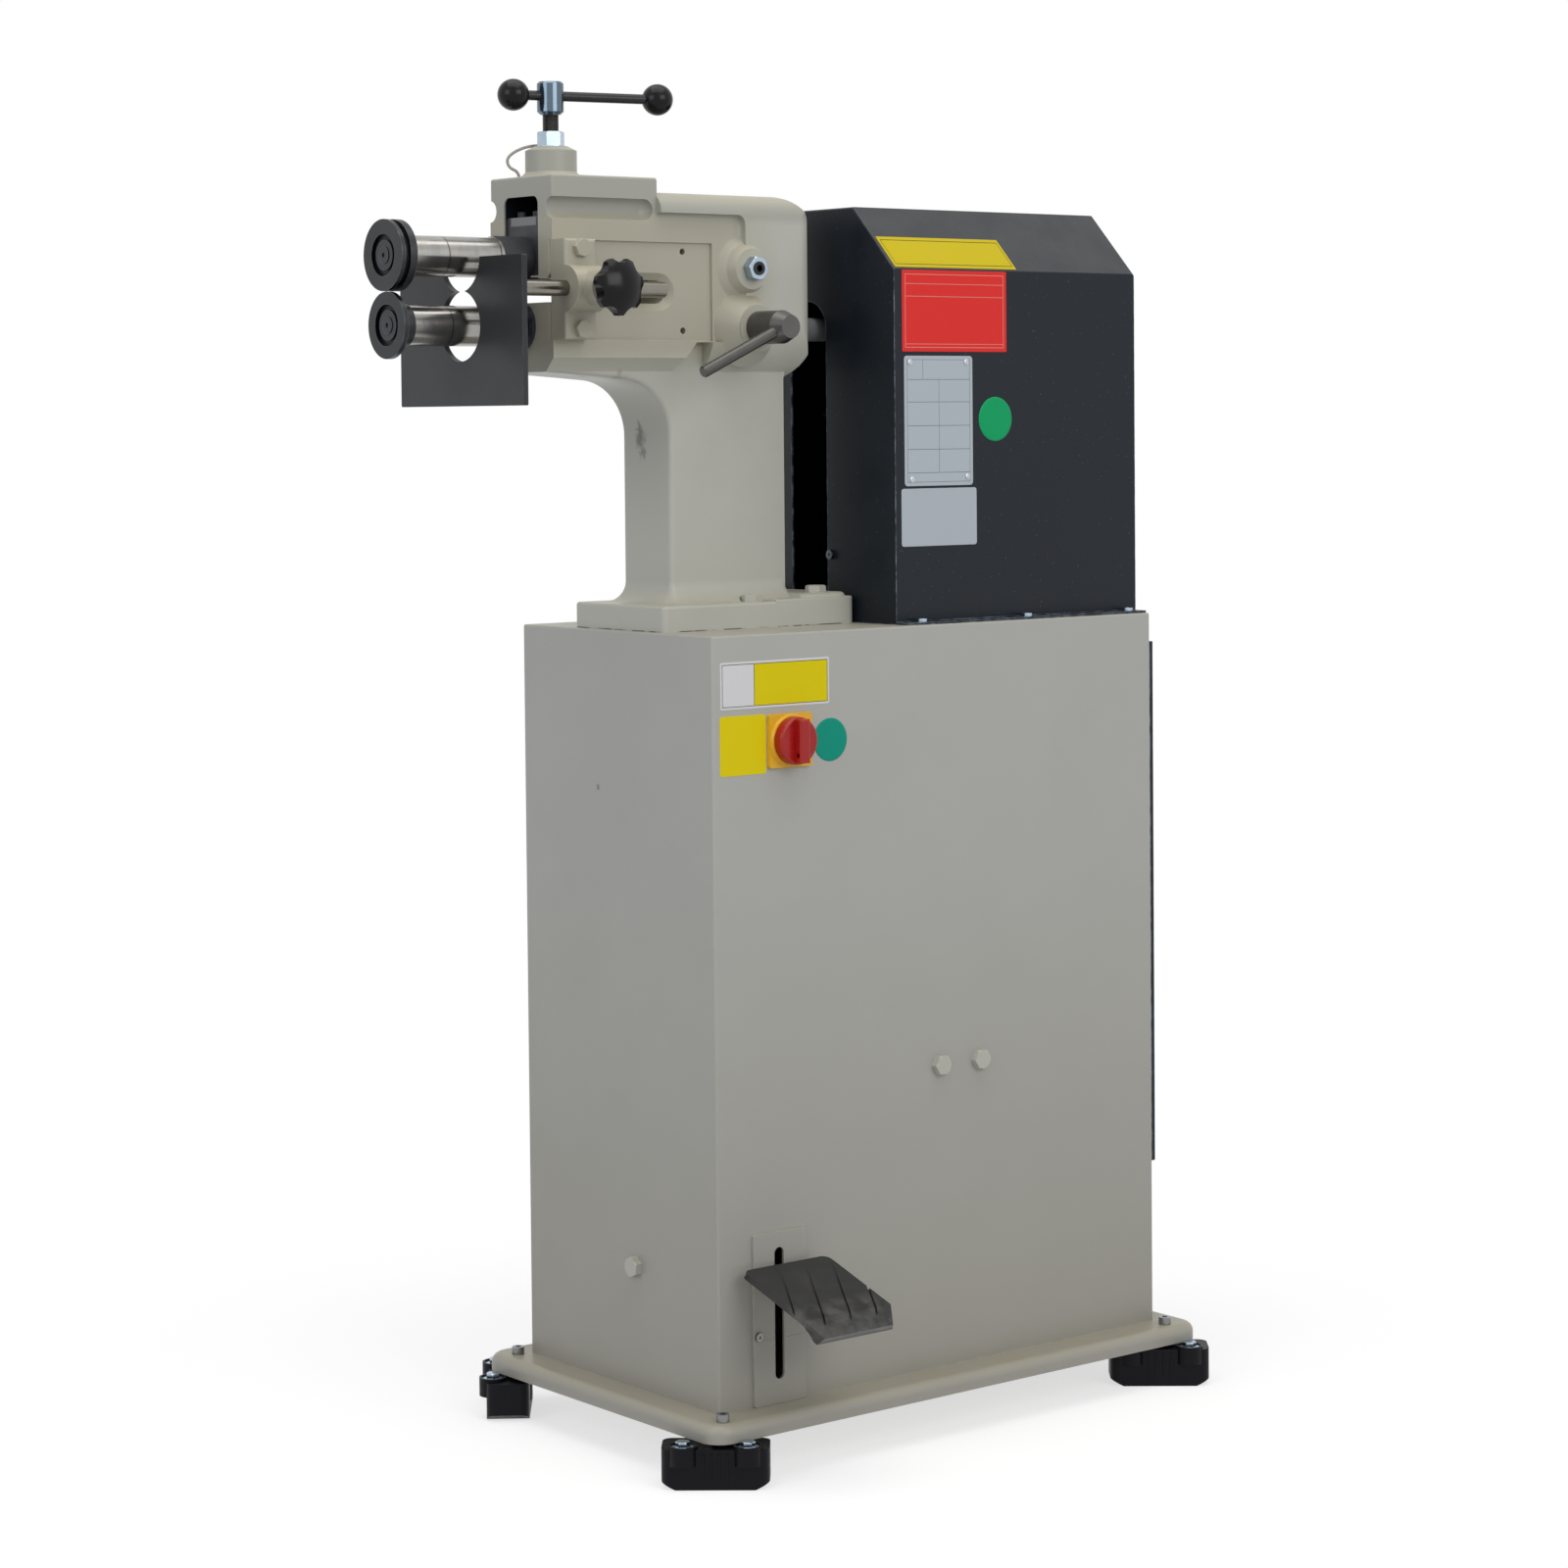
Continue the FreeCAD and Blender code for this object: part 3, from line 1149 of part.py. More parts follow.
node("hex_bolts", gathered(*(
    [hex_bolt("z", 6, 19, 7.5, top_under - 14, base_top - 0.4, spot, 1, 12) for spot in PLATE_BOLTS]
    + [hex_bolt("z", 6, 19, 7.5, top_under - 14, mound_top - 0.4, spot, 1, 12) for spot in MOUND_BOLTS]
    + [hex_bolt("y", 6, 19, 7.5, 14 - half_deep, -half_deep, spot, -1) for spot in SIDE_BOLTS]
    + [hex_bolt("y", 5, 16.5, 6.4, -36, bracket_face, spot, -1, 8) for spot in BRACKET_BOLTS]
    + [hex_bolt("x", 8, 19, 7.5, -150, -half_long, (S.pedal_pivot_y, S.pedal_pivot_high), -1, 5)])))
gauge_back = S.gauge_face + S.gauge_thick
stub_start = S.gauge_face + 2
node("gauge_rod", joined(rod("x", S.gauge_rod_dia / 2, gauge_back, -289, gauge_line),
                         cone("x", S.gauge_rod_dia / 2, S.gauge_rod_dia / 2 - 1, -289, -288,
                              gauge_line),
                         rod("x", 5, stub_start, gauge_back, gauge_line)))
plate = block(S.gauge_face, gauge_back, -S.gauge_half, S.gauge_half, S.gauge_low, S.gauge_high)
plate = rounded(plate, 2, runs("x"))
node("gauge_plate", cut(plate, rod("x", S.gauge_notch, S.gauge_face - 1, gauge_back + 1, lower_line),
                        rod("x", S.gauge_notch, S.gauge_face - 1, gauge_back + 1, upper_line),
                        rod("x", 5, stub_start, gauge_back + 1, gauge_line)))

# Clamping knob: a domed disc with a tapered back, scalloped to seven points
knob_r = S.knob_dia / 2
knob_front = -144
dome_r = 46
scallop_turns = [2 * math.pi * i / 7 for i in range(7)]
scallops = [rod("y", 11.5, knob_front - 5, knob_front + 30,
                (S.knob_x + 34.5 * math.sin(turn), S.gauge_rod_high + 34.5 * math.cos(turn)))
            for turn in scallop_turns]
knob_disc = shared(joined(rod("y", knob_r, knob_front, knob_front + 16, knob_spot),
                          cone("y", knob_r, 13, knob_front + 16, knob_front + 26, knob_spot)),
                   ball(dome_r, S.knob_x, knob_front + dome_r, S.gauge_rod_high))
node("star_knob", joined(cut(knob_disc, *scallops),
                         rod("y", 13, knob_front + 20, bracket_face - 41, knob_spot),
                         rod("y", 5, bracket_face - 41.5, bracket_face - 8.3, knob_spot)))

# Shift lever: hub with its eccentric pin, and the rod
hub_r = S.hub_dia / 2
hub_back = S.pad_half + 25 + S.move_gap
hub = joined(cone("y", hub_r - 5.3, hub_r, -S.hub_end, 14 - S.hub_end, lever_spot),
             rod("y", hub_r, 14 - S.hub_end, -hub_back, lever_spot),
             rod("y", 10, -hub_back, -26, lever_spot),
             rod("y", 4, -26.5, -16.5, (S.lever_x, S.lever_high + S.lever_throw)))


def on_lever(item):
    """Turns a piece drawn along -X from the hub's axis down to the lever's slope."""
    return moved(item, S.lever_x, 0, S.lever_high, (Y_AXIS, -S.lever_drop))


lever_r = S.lever_rod_dia / 2
lever_y = 12.5 - S.hub_end
node("lever_hub", cut(hub, on_lever(rod("x", lever_r, -25, -5, (lever_y, 0)))))
node("lever_rod", on_lever(joined(rod("x", lever_r, 1 - S.lever_long, -5, (lever_y, 0)),
                                  cone("x", lever_r - 1, lever_r, -S.lever_long,
                                       1 - S.lever_long, (lever_y, 0)))))

# Main switch: plate, red knob and body behind the panel
switch_line = (S.switch_x, S.switch_high)
switch_half = S.switch_plate / 2
panel = -half_deep
collar = joined(rounded(block(S.switch_x - switch_half, S.switch_x + switch_half, panel - 5, panel,
                              S.switch_high - switch_half, S.switch_high + switch_half), 3,
                        runs("y")),
                cone("y", 25, 26.5, panel - 8, panel - 5, switch_line))
node("switch_plate", cut(collar, rod("y", 4.5, panel - 10, panel + 1, switch_line)))
grip = rounded(block(S.switch_x - 6.5, S.switch_x + 6.5, panel - 29, panel - 17,
                     S.switch_high - 22, S.switch_high + 22), 3,
               lambda m, b, e: near(b.YMin, panel - 29) and near(b.YMax, panel - 29))
dial = rounded(rod("y", 24, panel - 19, panel - 8.3, switch_line), 3,
               lambda m, b, e: near(b.YMin, panel - 19) and near(b.YMax, panel - 19))
node("switch_knob", cut(joined(dial, grip, rod("y", 4, panel - 9, panel + 36, switch_line)),
                        rod("x", 2.5, S.switch_x - 8, S.switch_x + 8,
                            (panel - 24, S.switch_high - 14))))
node("switch_body", cut(block(S.switch_x - 25, S.switch_x + 25, panel + S.cab_wall, panel + 54,
                              S.switch_high - 25, S.switch_high + 25),
                        rod("y", 4.1, panel, panel + 40, switch_line)))

# Foot pedal: rubber pad on a plate, arm, pivot, bracket, return spring and limit switch
def pad_section(drop):
    """The pad's bent section, shifted down its own slope's square by drop."""
    down = size(drop)
    return [(-176 + down * 0.31, 143.5 - down * 0.95), (-275.5 + down * 0.55, 111.5 - down * 0.9),
            (-291 + down * 0.71, 95.5 - down * 0.71)]


def pedal_layer(top, bottom, half):
    corners = pad_section(top) + list(reversed(pad_section(bottom)))
    return slab("yz", corners, S.pedal_x - half, S.pedal_x + half)


rubber = pedal_layer(0, 6, S.pedal_half)
rubber = rounded(rubber, 9, lambda m, b, e: e.Length < 8 and near(m.y, -175.1, 1)
                 and b.XLength < 0.01)
corner_cuts = [slab("xy", [(S.pedal_x + side * (S.pedal_half + 1), -274.0),
                           (S.pedal_x + side * (S.pedal_half + 1), -300.0),
                           (S.pedal_x + side * 38.0, -300.0)], 60, 160) for side in (-1, 1)]
grooves = []
for step in (-70, -37, -4, 29, 62):
    trench = block(-1.1, 1.1, -70, 70, -1.6, 4)
    laid = moved(trench, 0, 0, 0, (X_AXIS, 17.83))
    swung = moved(laid, S.pedal_x + step, -225.75, 127.5, (Z_AXIS, -29))
    grooves.append(swung)
node("pedal_pad", cut(rubber, *(corner_cuts + grooves)))
pedal_plate = cut(pedal_layer(6, 9, S.pedal_half - 4), *corner_cuts)
arm_line = (S.pedal_pivot_y, S.pedal_pivot_high)
PIVOT_Y = S.pedal_pivot_y
PIVOT_Z = S.pedal_pivot_high
pedal_bar = slab("yz", [(-235, 116), (-180, 134.2), (-150, 138), (PIVOT_Y, PIVOT_Z + 18), (40, 132),
                        (40, 118), (PIVOT_Y, PIVOT_Z), (-235, 105)], S.pedal_x - 4, S.pedal_x + 4)
pedal_bar = cut(pedal_bar, pedal_layer(-6, 6, S.pedal_half + 5))
hub_start = S.cab_wall - half_long + 0.3
node("pedal_arm", cut(joined(pedal_bar, pedal_plate, rod("x", 17.5, hub_start, -156.3, arm_line)),
                      rod("x", 8 + S.run_gap, hub_start - 1, -156, arm_line)))
node("pedal_bracket", cut(joined(block(-156, -150, -60, 12, 0, 190),
                                 block(-240, -150, -60, 12, 0, 5),
                                 block(-238, -211, 0, 44, 0, 5),
                                 rod("z", 6, 4, 13, (S.pedal_x, 30)),
                                 block(S.pedal_x + 13, -156, -20, 4, 174, 180)),
                          rod("x", 8.02, -160, -140, arm_line)))
SPRING_SPOT = (S.pedal_x, 30)
SPRING_LOW = 14
SPRING_HIGH = 117.5
coil_r = 9.0
wire_r = 1.2
coils = 9
helix = Part.makeHelix((SPRING_HIGH - SPRING_LOW - 2 * wire_r) / coils,
                       SPRING_HIGH - SPRING_LOW - 2 * wire_r, coil_r)
ring_wire = Part.Wire(Part.makeCircle(wire_r, FreeCAD.Vector(coil_r, 0, 0), FreeCAD.Vector(0, 1, 0.1)))
coil = new("Part::Feature", "Coil")
coil.Shape = Part.Wire(helix.Edges).makePipeShell([ring_wire], True, True)
place(coil, SPRING_SPOT[0], SPRING_SPOT[1], SPRING_LOW + wire_r)
node("pedal_spring", coil)
node("limit_switch", cut(block(S.pedal_x - 13, S.pedal_x + 13, -24, 8, 160, 198),
                         rod("z", 3.2, 159, 176, (S.pedal_x, -8.4))))

# Control box behind the two side bolts
inner_wall = S.cab_wall - half_deep
node("control_box", cut(
    joined(block(-60, 100, inner_wall, inner_wall + 4, 270, 530),
           block(-50, 90, inner_wall + 4, inner_wall + 100, 340, 520)),
    *[rod("y", 6.1, -half_deep, inner_wall + 10, spot) for spot in SIDE_BOLTS]))

# Cord's solid along its spots
CORD_R = float(S.cord_dia) / 2


def cord_points():
    """Corner points of the cord: steps to the left of the screw, back from it, and height."""
    return [FreeCAD.Vector(float(S.screw_x) - TOWARDS[1] * left + TOWARDS[0] * back,
                           TOWARDS[0] * left + TOWARDS[1] * back, high)
            for left, back, high in CORD_SPOTS]


def cord_path(points):
    """Straight runs joined by tangent arcs; gives the edges, their length and the radii."""
    edges = []
    radii = []
    start = points[0]
    for before, corner, after in zip(points, points[1:], points[2:]):
        towards = (corner - before).normalize()
        away = (after - corner).normalize()
        turn = towards.getAngle(away)
        short = min((corner - before).Length, (after - corner).Length)
        radius = 0.45 * short / math.tan(turn / 2)
        radii.append(radius)
        step = 0.45 * short
        enter = corner - towards * step
        leave = corner + away * step
        middle_way = (away - towards).normalize()
        middle = corner + middle_way * (radius / math.cos(turn / 2) - radius)
        edges.append(Part.makeLine(start, enter))
        edges.append(Part.Arc(enter, middle, leave).toShape())
        start = leave
    edges.append(Part.makeLine(start, points[-1]))
    return edges, radii


cord_corners = cord_points()
cord_edges, cord_radii = cord_path(cord_corners)
cord_wire = Part.Wire(cord_edges)
cord_ring = Part.Wire(Part.makeCircle(CORD_R, cord_corners[0], cord_corners[1] - cord_corners[0]))
cord = new("Part::Feature", "Cord")
cord.Shape = cord_wire.makePipeShell([cord_ring], True, False)
print("cord radii", ["%.1f" % r for r in cord_radii], "volume %.1f, section by length %.1f" % (
    cord.Shape.Volume, math.pi * CORD_R ** 2 * cord_wire.Length))
node("tether_cord", cord)

# Every piece must be sound before it is written
doc.recompute()
os.makedirs("parts", exist_ok=True)
for item in doc.Objects:
    if "Invalid" in item.State or "Error" in item.State:
        raise ValueError("%s (%s) is in error: %s" % (item.Name, item.Label, item.State))
for item in nodes:
    if item.Shape.isNull() or not item.Shape.isValid():
        raise ValueError(item.Label + " has no sound shape")
whole = FreeCAD.BoundBox()
for item in nodes:
    item.Shape.exportStep("parts/%s.step" % item.Label)
    whole.add(item.Shape.BoundBox)
    print("%-18s solids %2d volume %11.1f" % (item.Label, len(item.Shape.Solids), item.Shape.Volume))
print(len(nodes), "pieces in", whole)
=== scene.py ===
import bpy
import bmesh
import json
import math
from mathutils import Matrix, Vector


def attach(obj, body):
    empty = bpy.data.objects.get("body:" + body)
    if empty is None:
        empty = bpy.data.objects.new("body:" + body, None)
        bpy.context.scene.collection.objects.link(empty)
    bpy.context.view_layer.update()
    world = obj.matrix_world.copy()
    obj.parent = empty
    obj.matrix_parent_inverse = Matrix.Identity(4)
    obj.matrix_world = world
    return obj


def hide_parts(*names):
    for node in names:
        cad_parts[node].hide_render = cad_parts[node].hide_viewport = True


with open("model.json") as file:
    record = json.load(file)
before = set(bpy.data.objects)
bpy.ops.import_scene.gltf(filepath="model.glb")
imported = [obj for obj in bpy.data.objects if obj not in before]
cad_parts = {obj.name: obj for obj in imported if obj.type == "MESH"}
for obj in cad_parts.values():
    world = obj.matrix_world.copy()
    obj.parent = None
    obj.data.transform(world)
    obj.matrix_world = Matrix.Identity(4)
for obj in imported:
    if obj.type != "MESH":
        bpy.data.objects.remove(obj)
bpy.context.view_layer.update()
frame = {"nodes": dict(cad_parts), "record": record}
nodes = frame["nodes"]
scene = bpy.context.scene

# The machine's own millimetres start at the middle of the cabinet's lower edge
DATUM = (112.769, 27.369, 62.0)
# The pressure screw's axis, in those millimetres
SCREW_X = -371.6


def spot(x, y, z):
    """A place in the machine's millimetres as a place in the frame's metres."""
    return Vector(((x + DATUM[0]) / 1000, (y + DATUM[1]) / 1000, (z + DATUM[2]) / 1000))


def level(z):
    """A height in the machine's millimetres as one in the frame's metres."""
    return spot(0, 0, z).z


def linear(red, green, blue):
    """A screen colour from 0 to 255 as the linear colour that a shader takes."""
    def channel(value):
        value = value / 255
        return value / 12.92 if value <= 0.04045 else ((value + 0.055) / 1.055) ** 2.4
    return (channel(red), channel(green), channel(blue), 1.0)


# Camera at the photograph's place. Sizes are in pixels of its square frame, and the optical row is the one that
# the lens looks straight at
PHOTO_SIZE = 1600
FOCAL_LENGTH = 3784.25
OPTICAL_ROW = 578.75
SENSOR_MM = 36
EYE = spot(-2519.15, -3058.53, 987.39)
AZIMUTH = math.radians(-38.601)
TILT = math.radians(2.275)
ROLL = math.radians(-0.5124)
camera_data = bpy.data.cameras.new("camera")
camera = bpy.data.objects.new("camera", camera_data)
scene.collection.objects.link(camera)
forward = Vector((-math.sin(AZIMUTH) * math.cos(TILT),
                  math.cos(AZIMUTH) * math.cos(TILT),
                  -math.sin(TILT)))
right = forward.cross(Vector((0, 0, 1))).normalized()
upward = right.cross(forward)
turned_right = right * math.cos(ROLL) + upward * math.sin(ROLL)
turned_up = upward * math.cos(ROLL) - right * math.sin(ROLL)
camera.matrix_world = Matrix((
    (turned_right.x, turned_up.x, -forward.x, EYE.x),
    (turned_right.y, turned_up.y, -forward.y, EYE.y),
    (turned_right.z, turned_up.z, -forward.z, EYE.z),
    (0, 0, 0, 1)))
camera_data.sensor_width = SENSOR_MM
camera_data.lens = SENSOR_MM * FOCAL_LENGTH / PHOTO_SIZE
camera_data.shift_y = (OPTICAL_ROW - PHOTO_SIZE / 2) / PHOTO_SIZE
camera_data.clip_end = 50
scene.camera = camera


# Materials
class Look:
    """A node material with real-scale detail.

    Places are metres in the part's frame. Each layer goes over the ones before it, and done() makes the links
    that end the material.
    """

    def __init__(self, name, colour, rough, metal=0.0, specular=0.5):
        self.material = bpy.data.materials.new(name)
        self.material.use_nodes = True
        self.tree = self.material.node_tree
        self.shader = self.tree.nodes["Principled BSDF"]
        self.shader.inputs["Metallic"].default_value = metal
        self.shader.inputs["Specular IOR Level"].default_value = specular
        self.shader.inputs["Roughness"].default_value = rough
        self.shader.inputs["Base Color"].default_value = colour
        self.where = self.add("ShaderNodeTexCoord").outputs["Object"]
        self.colour = self.fixed(colour)
        self.rough = rough
        self.normal = None

    def add(self, kind, **settings):
        node = self.tree.nodes.new(kind)
        for key, value in settings.items():
            setattr(node, key, value)
        return node

    def link(self, source, target):
        self.tree.links.new(source, target)

    def fixed(self, colour):
        node = self.add("ShaderNodeRGB")
        node.outputs[0].default_value = colour
        return node.outputs[0]

    def stretched(self, x, y, z):
        node = self.add("ShaderNodeMapping")
        node.inputs["Scale"].default_value = (x, y, z)
        self.link(self.where, node.inputs["Vector"])
        return node.outputs[0]

    def axis(self, name):
        """One coordinate of the place, in metres."""
        node = self.add("ShaderNodeSeparateXYZ")
        self.link(self.where, node.inputs[0])
        return node.outputs[name]

    def noise(self, grain, detail, vector=None, rough=0.55):
        """Noise whose grains are about that many metres across."""
        node = self.add("ShaderNodeTexNoise")
        node.inputs["Scale"].default_value = 1 / grain
        node.inputs["Detail"].default_value = detail
        node.inputs["Roughness"].default_value = rough
        self.link(vector or self.where, node.inputs["Vector"])
        return node.outputs["Fac"]

    def spread(self, value, low, high, to_low=0.0, to_high=1.0):
        """Carries the span from low to high over to another span, with its ends held."""
        node = self.add("ShaderNodeMapRange")
        node.inputs["From Min"].default_value = low
        node.inputs["From Max"].default_value = high
        node.inputs["To Min"].default_value = to_low
        node.inputs["To Max"].default_value = to_high
        self.link(value, node.inputs["Value"])
        return node.outputs["Result"]

    def maths(self, kind, first, second=0.0):
        node = self.add("ShaderNodeMath", operation=kind)
        for source, target in ((first, node.inputs[0]), (second, node.inputs[1])):
            if isinstance(source, (int, float)):
                target.default_value = source
            else:
                self.link(source, target)
        return node.outputs[0]

    def tint(self, colour, amount):
        """Lays a colour over what is there, where amount is near 1."""
        node = self.add("ShaderNodeMix", data_type="RGBA", blend_type="MIX")
        self.link(amount, node.inputs["Factor"])
        self.link(self.colour, node.inputs["A"])
        node.inputs["B"].default_value = colour
        self.colour = node.outputs["Result"]

    def shade(self, grain, low, high, vector=None):
        """Makes the colour a little darker and lighter in patches."""
        value = self.spread(self.noise(grain, 5.0, vector), 0.3, 0.7, low, high)
        node = self.add("ShaderNodeMix", data_type="RGBA", blend_type="MULTIPLY")
        node.inputs["Factor"].default_value = 1.0
        self.link(self.colour, node.inputs["A"])
        self.link(value, node.inputs["B"])
        self.colour = node.outputs["Result"]

    def gloss(self, grain, low, high):
        """Makes the roughness uneven in patches."""
        self.rough = self.spread(self.noise(grain, 3.0), 0.3, 0.7, low, high)

    def relief(self, value, height):
        """Bump of that height in metres."""
        node = self.add("ShaderNodeBump")
        node.inputs["Distance"].default_value = height
        node.inputs["Strength"].default_value = 1.0
        self.link(value, node.inputs["Height"])
        if self.normal is not None:
            self.link(self.normal, node.inputs["Normal"])
        self.normal = node.outputs["Normal"]

    def edges(self, radius, patch=0.012, low=0.42, high=0.6):
        """Where two faces meet, broken up by noise; 1 on the edge itself."""
        soft = self.add("ShaderNodeBevel", samples=4)
        soft.inputs["Radius"].default_value = radius
        plain = self.add("ShaderNodeNewGeometry")
        dot = self.add("ShaderNodeVectorMath", operation="DOT_PRODUCT")
        self.link(soft.outputs["Normal"], dot.inputs[0])
        self.link(plain.outputs["Normal"], dot.inputs[1])
        edge = self.spread(dot.outputs["Value"], 0.985, 0.86)
        patches = self.spread(self.noise(patch, 6.0), low, high, 0.15, 1.0)
        return self.maths("MULTIPLY", edge, patches), soft

    def edge_wear_and_highlight(self, radius, colour, most):
        """A paler line where two faces meet, used for worn edges and for a painted highlight along edges."""
        edge, soft = self.edges(radius)
        self.tint(colour, self.maths("MULTIPLY", edge, most))
        if self.normal is None:
            self.normal = soft.outputs["Normal"]

    def blot(self, centre, size, colour, most, grain):
        """A stain with ragged edges round one place; size gives its half lengths."""
        shifted = self.add("ShaderNodeVectorMath", operation="SUBTRACT")
        self.link(self.where, shifted.inputs[0])
        shifted.inputs[1].default_value = centre
        scaled = self.add("ShaderNodeVectorMath", operation="DIVIDE")
        self.link(shifted.outputs[0], scaled.inputs[0])
        scaled.inputs[1].default_value = size
        away = self.add("ShaderNodeVectorMath", operation="LENGTH")
        self.link(scaled.outputs[0], away.inputs[0])
        raggedness = self.spread(self.noise(grain, 6.0), 0.3, 0.7, -0.5, 0.5)
        ragged = self.maths("ADD", away.outputs["Value"], raggedness)
        self.tint(colour, self.spread(ragged, 0.3, 1.1, most, 0.0))

    def within(self, low, high):
        """1 inside the upright box between two places, and 0 outside it."""
        inside = 1.0
        for name, start, end in zip("XYZ", low, high):
            place = self.axis(name)
            inside = self.maths("MULTIPLY", inside, self.maths("GREATER_THAN", place, min(start, end)))
            inside = self.maths("MULTIPLY", inside, self.maths("LESS_THAN", place, max(start, end)))
        return inside

    def upward_dust_and_highlight(self, colour, most, high=1.1):
        """A tint on what faces up, used for dust and oil film and for a painted highlight; where the normal's
        rise is above high it thins out again.
        """
        facing = self.add("ShaderNodeNewGeometry")
        split = self.add("ShaderNodeSeparateXYZ")
        self.link(facing.outputs["Normal"], split.inputs[0])
        patches = self.spread(self.noise(0.04, 6.0), 0.3, 0.6, 0.7 * most, most)
        upward = self.maths("MULTIPLY", self.spread(split.outputs["Z"], 0.25, min(0.85, high)),
                            self.spread(split.outputs["Z"], high, high + 0.15, 1.0, 0.0))
        self.tint(colour, self.maths("MULTIPLY", upward, patches))

    def done(self):
        self.link(self.colour, self.shader.inputs["Base Color"])
        if not isinstance(self.rough, (int, float)):
            self.link(self.rough, self.shader.inputs["Roughness"])
        if self.normal is not None:
            self.link(self.normal, self.shader.inputs["Normal"])
        return self.material


def painted(name, colour, rough, peel, peel_size, patch=0.12, low=0.98, high=1.015, specular=0.5):
    """Sprayed paint: faint cloudy patches, orange peel and uneven gloss."""
    look = Look(name, colour, rough, specular=specular)
    look.shade(patch, low, high)
    look.shade(0.9, 0.98, 1.01)
    look.gloss(0.05, rough - 0.05, rough + 0.06)
    look.relief(look.noise(peel_size, 2.0), peel)
    return look


def turned_steel(name, colour, rough, ring, depth):
    """Steel turned or ground along X: fine rings round the axis."""
    look = Look(name, colour, rough, metal=1.0)
    along = look.stretched(1.0, 0.02, 0.02)
    look.shade(0.05, 0.94, 1.04)
    look.shade(ring * 4, 0.93, 1.04, along)
    look.gloss(0.03, rough - 0.03, rough + 0.05)
    look.relief(look.noise(ring, 3.0, along), depth)
    return look


def cabinet_paint():
    look = painted("cabinet_paint", linear(177, 177, 172), 0.42, 0.00003, 0.0028)
    smudges = look.spread(look.noise(0.3, 8.0, rough=0.7), 0.60, 0.80, 0.0, 0.10)
    look.tint(linear(140, 135, 120), smudges)
    # Painted shade: the cabinet is made darker and warmer towards the bottom, where less light falls.
    painted_shade_low = look.spread(look.axis("Z"), level(-30), level(520), 0.44, 0.0)
    look.tint(linear(138, 129, 110), painted_shade_low)
    look.upward_dust_and_highlight(linear(163, 156, 134), 0.6)
    # Worn paint and painted highlight: a pale, broken line along the edges, as light catching their rounds.
    look.edge_wear_and_highlight(0.0018, linear(206, 205, 199), 0.6)
    look.blot(spot(-300, 31, 612), (0.004, 0.003, 0.004), linear(108, 104, 96), 0.8, 0.003)
    return look.done()


def head_paint():
    """Paint of the head, warmer where it is handled, with a dark seam under its foot and a mouth tinted
    near-black, partly oily bare iron and partly painted shade.
    """
    look = painted("head_paint", linear(187, 187, 178), 0.40, 0.00010, 0.006, 0.05, 0.975, 1.02)
    look.relief(look.noise(0.0016, 2.0), 0.00003)
    handled = look.maths("MULTIPLY", look.spread(look.axis("X"), spot(-130, 0, 0).x, spot(-200, 0, 0).x),
                         look.spread(look.axis("Z"), level(1035), level(1060)))
    look.tint(linear(172, 168, 151), look.maths("MULTIPLY", handled, 0.9))
    # Painted shade: the cap, above the head's top edge, is made darker and greyer.
    look.tint(linear(164, 164, 155), look.spread(look.axis("Z"), level(1187), level(1199)))
    smudges = look.spread(look.noise(0.09, 9.0, rough=0.75), 0.64, 0.80, 0.0, 0.22)
    look.tint(linear(122, 116, 98), smudges)
    look.upward_dust_and_highlight(linear(178, 170, 146), 0.5)
    # Worn paint and painted highlight: a pale, broken line along the edges, as light catching their rounds.
    look.edge_wear_and_highlight(0.0018, linear(202, 200, 190), 0.5)
    foot_seam = look.within(spot(-400, -150, 774.2), spot(100, 150, 775.6))
    broken = look.spread(look.noise(0.02, 5.0), 0.42, 0.55)
    look.tint(linear(82, 78, 70), look.maths("MULTIPLY", foot_seam, broken))
    # Partly oily bare iron, partly painted shade: the inside of the mouth is tinted near-black.
    mouth_oil_and_shade = look.within(spot(-407, -29.8, 1098), spot(-280, 29.8, 1213))
    look.tint(linear(20, 23, 27), mouth_oil_and_shade)
    look.blot(spot(-257, 9, 970), (0.008, 0.008, 0.017), linear(84, 80, 74), 0.75, 0.007)
    look.blot(spot(-256, 4, 955), (0.006, 0.005, 0.007), linear(92, 86, 78), 0.6, 0.004)
    look.blot(spot(-352, -20, 1040), (0.010, 0.012, 0.012), linear(88, 80, 66), 0.6, 0.006)
    look.blot(spot(-318, -30, 1037), (0.012, 0.014, 0.010), linear(96, 88, 74), 0.45, 0.006)
    return look.done()


def cover_paint():
    look = painted("cover_black", linear(10, 19, 29), 0.42, 0.00005, 0.0022, 0.2, 0.92, 1.06, specular=0.28)
    specks = look.spread(look.noise(0.0024, 0.0), 0.82, 0.85)
    look.tint(linear(56, 64, 72), specks)
    # Partly dust, partly painted highlight: the sloping face is made paler as if lit from above, while the flat
    # top stays dark.
    look.upward_dust_and_highlight(linear(104, 105, 107), 0.3, high=0.72)
    look.edge_wear_and_highlight(0.002, linear(160, 176, 192), 0.85)
    return look.done()


def gauge_paint():
    look = painted("gauge_black", linear(33, 36, 41), 0.38, 0.00002, 0.0015, 0.06, 0.92, 1.05, specular=0.4)
    # Painted shade: the plate is made darker towards its top.
    painted_shade_up = look.spread(look.axis("Z"), level(1060), level(1170), 0.0, 0.85)
    look.tint(linear(8, 10, 14), painted_shade_up)
    scuffs = look.spread(look.noise(0.012, 10.0, look.stretched(1, 1, 0.25), 0.8), 0.68, 0.76, 0.0, 0.16)
    look.tint(linear(88, 90, 94), scuffs)
    look.edge_wear_and_highlight(0.0008, linear(112, 116, 122), 0.6)
    return look.done()


